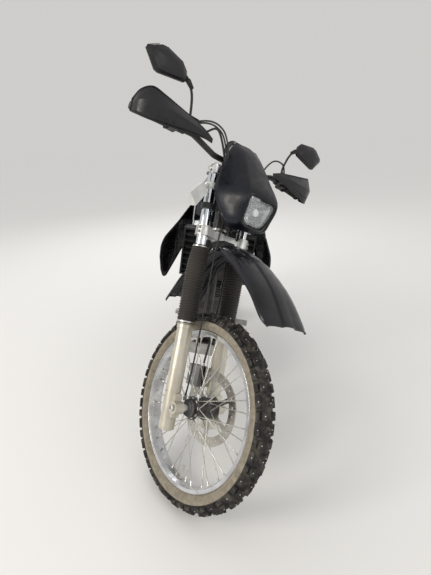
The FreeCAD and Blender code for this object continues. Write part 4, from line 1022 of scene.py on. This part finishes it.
def shock():
    """Spring, damper and the eyes at both ends."""
    low, high = xyz(0, 276, 418.3), xyz(0, 172.5, 700)
    run = (high - low).normalized()
    long = (high - low).length
    side, other = frame_along(run)
    coil = []
    turns, first, last = 7.5, 68, long - 96
    for step in range(int(turns * 22) + 1):
        turn = 2 * pi * step / 22
        along = first + (last - first) * step / (turns * 22)
        coil.append(low + run * along + (side * cos(turn) + other * sin(turn)) * 29)
    on_body("shock_spring", sweep(coil, 5.2, 10, 1), "spring", replaced=["rear_shock"])
    body = lathe(low, high, [(22, 10), (24, 30), (30, 34.5), (60, 34.5), (62, 27), (66, 22), (66, 9),
        (120, 9), (121, 20), (long - 94, 20), (long - 93, 34.5), (long - 86, 34.5), (long - 84, 26),
        (long - 40, 26), (long - 26, 20), (long - 8, 14)], 40)
    rings = [lathe(low, high, [(long - 82 + step * 9, 26), (long - 81 + step * 9, 29),
        (long - 76 + step * 9, 29), (long - 75 + step * 9, 26)], 40) for step in range(3)]
    eyes = [lathe(end - xyz(15.9, 0, 0), end, [(0, 11), (1, 12.4), (31, 12.4), (31.8, 11)], 28)
        for end in (low, high)]
    on_body("shock_body", [body, *rings, *eyes], "shock")


def engine():
    """Cover screws and trims, the spark plug's lead and coil, and the coolant hose."""
    screws = []
    for side, face, radius, y, z in ((-1, 118, 75, 20, 400), (1, 104, 65, -84, 395)):
        for turn in angles(7):
            screws.append(bolt((side * face, y + radius * cos(turn + pi / 2) * -1,
                                z + radius * sin(turn + pi / 2)), (side, 0, 0), 5, 5.5))
    for x, y in ((-44, -88), (44, -88), (-44, 8), (44, 8)):
        screws.append(cap_screw((x, y - 22, 704), (0, -0.14, 0.99), 5, 6))
    on_body("engine_screws", screws)
    filler = merge(lathe((-100, 62, 470), (-126, 62, 470), [(0, 16), (20, 16), (21, 18), (27, 18), (28, 15)],
        10), lathe((-124, 20, 400), (-128, 20, 400), [(-1, 46), (1.5, 46), (3, 43), (3, 30), (1.2, 29)], 48))
    on_body("clutch_trim", filler, "engine_trim")
    window = lathe((-117, 66, 350), (-125, 66, 350), [(0, 11), (5, 11), (6, 9), (6, 7.5), (4, 7)], 24)
    trim = lathe((110, -84, 395), (116, -84, 395), [(-1, 36), (1.5, 36), (3, 33), (3, 12), (1.5, 11)], 40)
    on_body("case_trim", [window, trim], "engine_trim")
    plug = sweep([(-70, -52, 640), (-84, -52, 652), (-90, -34, 700), (-84, 6, 770), (-76, 25, 836)],
        3.6, 10, 6)
    cap = lathe((-64, -52, 634), (-88, -52, 650), [(0, 7), (12, 8), (20, 6.5), (26, 4.6), (27, 3.6)], 16)
    on_body("spark_lead", [plug, cap], "hose")
    coil = merge(slab((-94, 4, 828), (-58, 46, 850.5)), lathe((-76, 25, 814), (-76, 25, 830),
        [(0, 5), (4, 8), (15, 8)], 16))
    on_body("ignition_coil", coil, "control", bevel=2)
    hose = sweep([(84, -216, 664), (82, -206, 640), (66, -180, 604), (50, -150, 586), (34, -118, 580)],
        13, 16, 8)
    clamps = [lathe(xyz(83, -212, 652), xyz(82, -206, 640), [(-3, 13.6), (-3, 14.4), (4, 14.4), (4, 13.6)],
        20), lathe(xyz(48, -146, 584), xyz(40, -130, 582), [(0, 13.6), (0, 14.4), (7, 14.4), (7, 13.6)], 20)]
    on_body("coolant_hose", hose, "hose")
    on_body("hose_clamps", clamps)


def intake():
    """Carburettor behind the head, its boot beside the shock and the box that it breathes from."""
    stub = lathe((0, 27, 614), (0, 88, 640), [(0, 25), (8, 25), (9, 21), (52, 21), (53, 25), (62, 25)], 28)
    body = slab((-29, 86, 610), (29, 134, 674))
    bowl = lathe((0, 112, 612), (0, 112, 586), [(0, 25), (14, 25), (16, 22), (26, 20), (27, 9), (33, 8)], 28)
    cap = lathe((0, 112, 672), (0, 112, 710), [(0, 26), (6, 26), (8, 23), (24, 22), (28, 16), (29, 7),
        (38, 6)], 28)
    on_body("carburettor", [stub, body, bowl, cap], "caliper", bevel=3)
    boot = sweep([(0, 130, 644), (26, 150, 646), (47, 173, 655), (56, 206, 678), (52, 246, 700)], 17, 20, 8)
    straps = [lathe((0, 132, 645), (10, 140, 645), [(0, 18), (0, 19.5), (8, 19.5), (8, 18)], 24),
              lathe((52, 228, 692), (52, 240, 698), [(0, 18), (0, 19.5), (8, 19.5), (8, 18)], 24)]
    on_body("intake_boot", boot, "grip")
    on_body("boot_straps", straps)
    box = merge(slab((-86, 238, 640), (86, 322, 790)), slab((-60, 232, 660), (60, 240, 770)))
    tabs = [slab((side * 88 - 7, 262, 780), (side * 88 + 7, 284, 812)) for side in (-1, 1)]
    ribs = [slab((-89, 250 + step * 22, 660), (89, 254 + step * 22, 770)) for step in range(4)]
    on_body("airbox", [box, *tabs, *ribs], "rear_fender", bevel=3)


def pipes():
    """Flange and nuts on the header, and the silencer's guard, screws and tip."""
    flange = lathe((-34, -128, 622), (-34, -132, 622), [(-4, 27), (4, 27), (6, 24), (6, 18)], 28)
    nuts = [bolt((-34 + side * 24, -133, 622), (0, -1, 0), 5, 8) for side in (-1, 1)]
    on_body("header_flange", [flange, *nuts])
    start, end = xyz(-176, 348, 634), xyz(-180, 800, 770)
    run = (end - start).normalized()
    side, other = frame_along(run)

    def outward(degrees):
        out = xyz(-cos(radians(degrees)), 0, sin(radians(degrees)))
        return (out - run * out.dot(run)).normalized()
    guard = [[start + run * (70 + index * 13) + outward(-48 + step * 9.6) * 49.5 for step in range(11)]
             for index in range(25)]
    plate = on_body("heat_shield", sheet(guard), "silencer")
    thick = plate.modifiers.new("thickness", "SOLIDIFY")
    thick.thickness = 1.6 * MM
    screws = [cap_screw(start + run * along + outward(turn) * 49, outward(turn), 4.5, 3.5)
              for along in (84, 370) for turn in (-36, 36)]
    cap = start + run * ((end - start).length - 8)
    screws += [cap_screw(cap + (side * cos(turn) + other * sin(turn)) * 37, run, 3.5, 6)
        for turn in angles(5)]
    on_body("silencer_screws", screws)
    tip = lathe(end + run * 2, end + run * 24,
                [(0, 18), (2, 17), (21, 16.6), (23, 15.6), (23, 12.6), (6, 12.4)], 32)
    on_body("silencer_tip", tip, "exhaust")


def seated(node, at, way, radius=6.0, tall=3.0):
    """A screw on the first face of a CAD node that a line from outside meets."""
    cad = frame["nodes"][node]
    to_body = BODY.inverted() @ cad.matrix_world
    tree = BVHTree.FromPolygons([to_body @ corner.co for corner in cad.data.vertices],
                                [face.vertices for face in cad.data.polygons])
    place, normal = tree.ray_cast(Vector(at), Vector(way).normalized())[:2]
    if normal.dot(Vector(way)) > 0:
        normal.negate()
    return cap_screw(place, normal, radius, tall)


def fasteners():
    """Screws of the bodywork, chain adjusters, axle nuts and the cups of the steering head."""
    heads = [seated(node, (side * 400, y, z), (-side, 0, 0), 6.5, 2.6) for node, y,
        z in (("shrouds", -180, 850), ("shrouds", -300, 700), ("shrouds", -60, 820),
        ("side_panels", 190, 790), ("side_panels", 330, 700), ("side_panels", 540, 790)) for side in (-1, 1)]
    heads += [seated("skid_plate", (side * 60, y, 100), (0, 0, 1), 6, 3) for y in (-150, -60, 10)
        for side in (-1, 1)]
    on_body("body_screws", heads)
    adjust = []
    for x in (-103, 103):
        adjust += [rod((x, 782, 322), (x, 812, 322), 4, 12), bolt((x, 790, 322), (0, 1, 0), 6.5, 6),
                   slab((x - 7, 786, 306), (x + 7, 790, 338))]
    on_body("chain_adjusters", adjust)
    nuts = [bolt((side * x, y, z), (side, 0, 0), size, tall)
            for x, y, z, size, tall in ((123, 745, 322, 13, 8), (124, 190, 400, 11, 7)) for side in (-1, 1)]
    on_body("axle_nuts", nuts)
    base = xyz(0, -745, 350) + xyz(0, cos(RAKE), -sin(RAKE)) * 66
    way = xyz(0, sin(RAKE), cos(RAKE))
    cups = [lathe(base + way * height, base + way * (height + sign), [(0.5, 26), (1, 30), (9, 30),
        (10, 27.4)], 36) for height, sign in ((660, 1), (849, -1))]
    on_body("bearing_cups", cups)


# The lower this is, the squarer the tail lens's corners
LENS_CORNER = 0.35


def tail():
    """Tail lamp and rear indicators with their lenses, and the rings of the filler cap."""
    rows = []
    for share, bulge in ((1.0, 0), (0.97, 3), (0.9, 5), (0.6, 6.4), (0.2, 7), (0.02, 7)):
        row = []
        for turn in angles(28):
            c, s = cos(turn), sin(turn)
            x = 47 * share * copysign(abs(c) ** LENS_CORNER, c)
            z = 18 * share * copysign(abs(s) ** LENS_CORNER, s)
            row.append(xyz(x, 1078 + bulge, 827 + z))
        rows.append(row)
    housing = [slab((-52, 1050.3, 806), (52, 1078.4, 848))]
    lenses = []
    for side in (-1, 1):
        housing.append(lathe((side * 75.2, 930, 846), (side * 150, 930, 846), [(0, 11), (8, 8), (75, 7)], 20))
        bulb = [[(130, 950, 822), (190, 950, 828), (190, 950, 868), (130, 950, 876)],
                [(132, 930, 824), (188, 930, 830), (188, 930, 866), (132, 930, 873)],
                [(139, 910, 831), (178, 910, 834), (178, 910, 860), (139, 910, 865)]]
        housing.append(loft([[(side * x, y, z) for x, y, z in row] for row in bulb]))
        lens = [[xyz(side * (160 + 27 * share * cos(turn)), 950 + bulge,
                     848 + (20 - 2.6 * cos(turn)) * share * sin(turn)) for turn in angles(28)]
                for share, bulge in ((1.0, 0), (0.96, 4), (0.8, 7), (0.4, 9), (0.03, 9.5))]
        lenses.append(loft(lens))
    on_body("tail_housings", housing, "rear_fender", bevel=3, replaced=["rear_lamps"])
    on_body("tail_lens", loft(rows), "tail_lens", sharp=60)
    on_body("rear_indicator_lenses", lenses, "amber", sharp=60)
    cap = merge(lathe((0, -110, 1075), (0, -110, 1076), [(13, 33), (15.5, 33), (17, 31), (17, 22),
        (14.6, 21)], 48), lathe((0, -96, 1075), (0, -96, 1076), [(13, 6), (17, 6), (18, 5), (18, 3)], 20))
    on_body("cap_rings", cap)


# Floor, light and camera

FLOOR = (0.74, 0.73, 0.71)
SKY_LIGHT = 0.84


def stage():
    """A pale floor that meets a backdrop of its own colour, so that no horizon shows."""
    ground = bpy.data.meshes.new("floor")
    ground.from_pydata([(-30, -30, 0), (30, -30, 0), (30, 30, 0), (-30, 30, 0)], [], [(0, 1, 2, 3)])
    floor = linked("floor", ground)
    made, tree, shader = nodes_of("pale floor")
    set_inputs(shader, Base_Color=(*FLOOR, 1), Roughness=0.9, Specular_IOR_Level=0.1)
    ground.materials.append(made)
    world = bpy.data.worlds.new("studio")
    bpy.context.scene.world = world
    world.use_nodes = True
    tree = world.node_tree
    rays = add_node(tree, "LightPath")
    seen = rays.outputs["Is Camera Ray"]
    for kind in ("Is Glossy Ray", "Is Transmission Ray"):
        either = add_node(tree, "Math")
        either.operation = "MAXIMUM"
        tree.links.new(seen, either.inputs[0])
        tree.links.new(rays.outputs[kind], either.inputs[1])
        seen = either.outputs[0]
    shown = tuple(channel * SKY_LIGHT for channel in FLOOR)
    light = (SKY_LIGHT, SKY_LIGHT, SKY_LIGHT)
    tree.links.new(mix_colour(tree, seen, light, shown), tree.nodes["Background"].inputs["Color"])


def lamp(name, place, aim, size, power, colour=(1, 1, 1)):
    light = bpy.data.lights.new(name, "AREA")
    light.size = size
    light.energy = power
    light.color = colour
    holder = linked(name, light)
    holder.location = place
    holder.rotation_euler = (Vector(aim) - Vector(place)).to_track_quat("-Z", "Y").to_euler()


# The camera stands ahead of the machine, to its left, and looks a little down
CAMERA_PLACE = (0.1408, -1.9994, 1.2656)
CAMERA_YAW, CAMERA_DOWN, CAMERA_ROLL = (radians(angle) for angle in (7.5, 21.1, -3.2))
CAMERA_LENS = 26.25


def camera():
    data = bpy.data.cameras.new("camera")
    data.lens = CAMERA_LENS
    data.sensor_width = 36
    data.sensor_fit = "AUTO"
    holder = linked("camera", data)
    holder.location = CAMERA_PLACE
    turn = Matrix.Rotation(CAMERA_YAW, 4, "Z") @ Matrix.Rotation(pi / 2 - CAMERA_DOWN, 4, "X")
    holder.rotation_euler = (turn @ Matrix.Rotation(CAMERA_ROLL, 4, "Z")).to_euler()
    bpy.context.scene.camera = holder


wheels()
fork_details()
mask()
lamp_case()
headlight()
guards()
mirror_heads()
fender()
shrouds()
cables()
cockpit()
dials()
seat()
links()
shock()
engine()
intake()
pipes()
fasteners()
tail()

stage()
lamp("key", (-3.2, -3.0, 3.0), (0, -0.5, 0.6), 1.8, 84, (1, 0.95, 0.87))
lamp("fill", (3.0, -2.6, 2.6), (0, -0.3, 0.6), 2.4, 22)
lamp("rear", (-1.2, 3.2, 3.0), (0, 0, 0.6), 2.0, 40)
camera()
bpy.context.scene.view_settings.view_transform = "Standard"
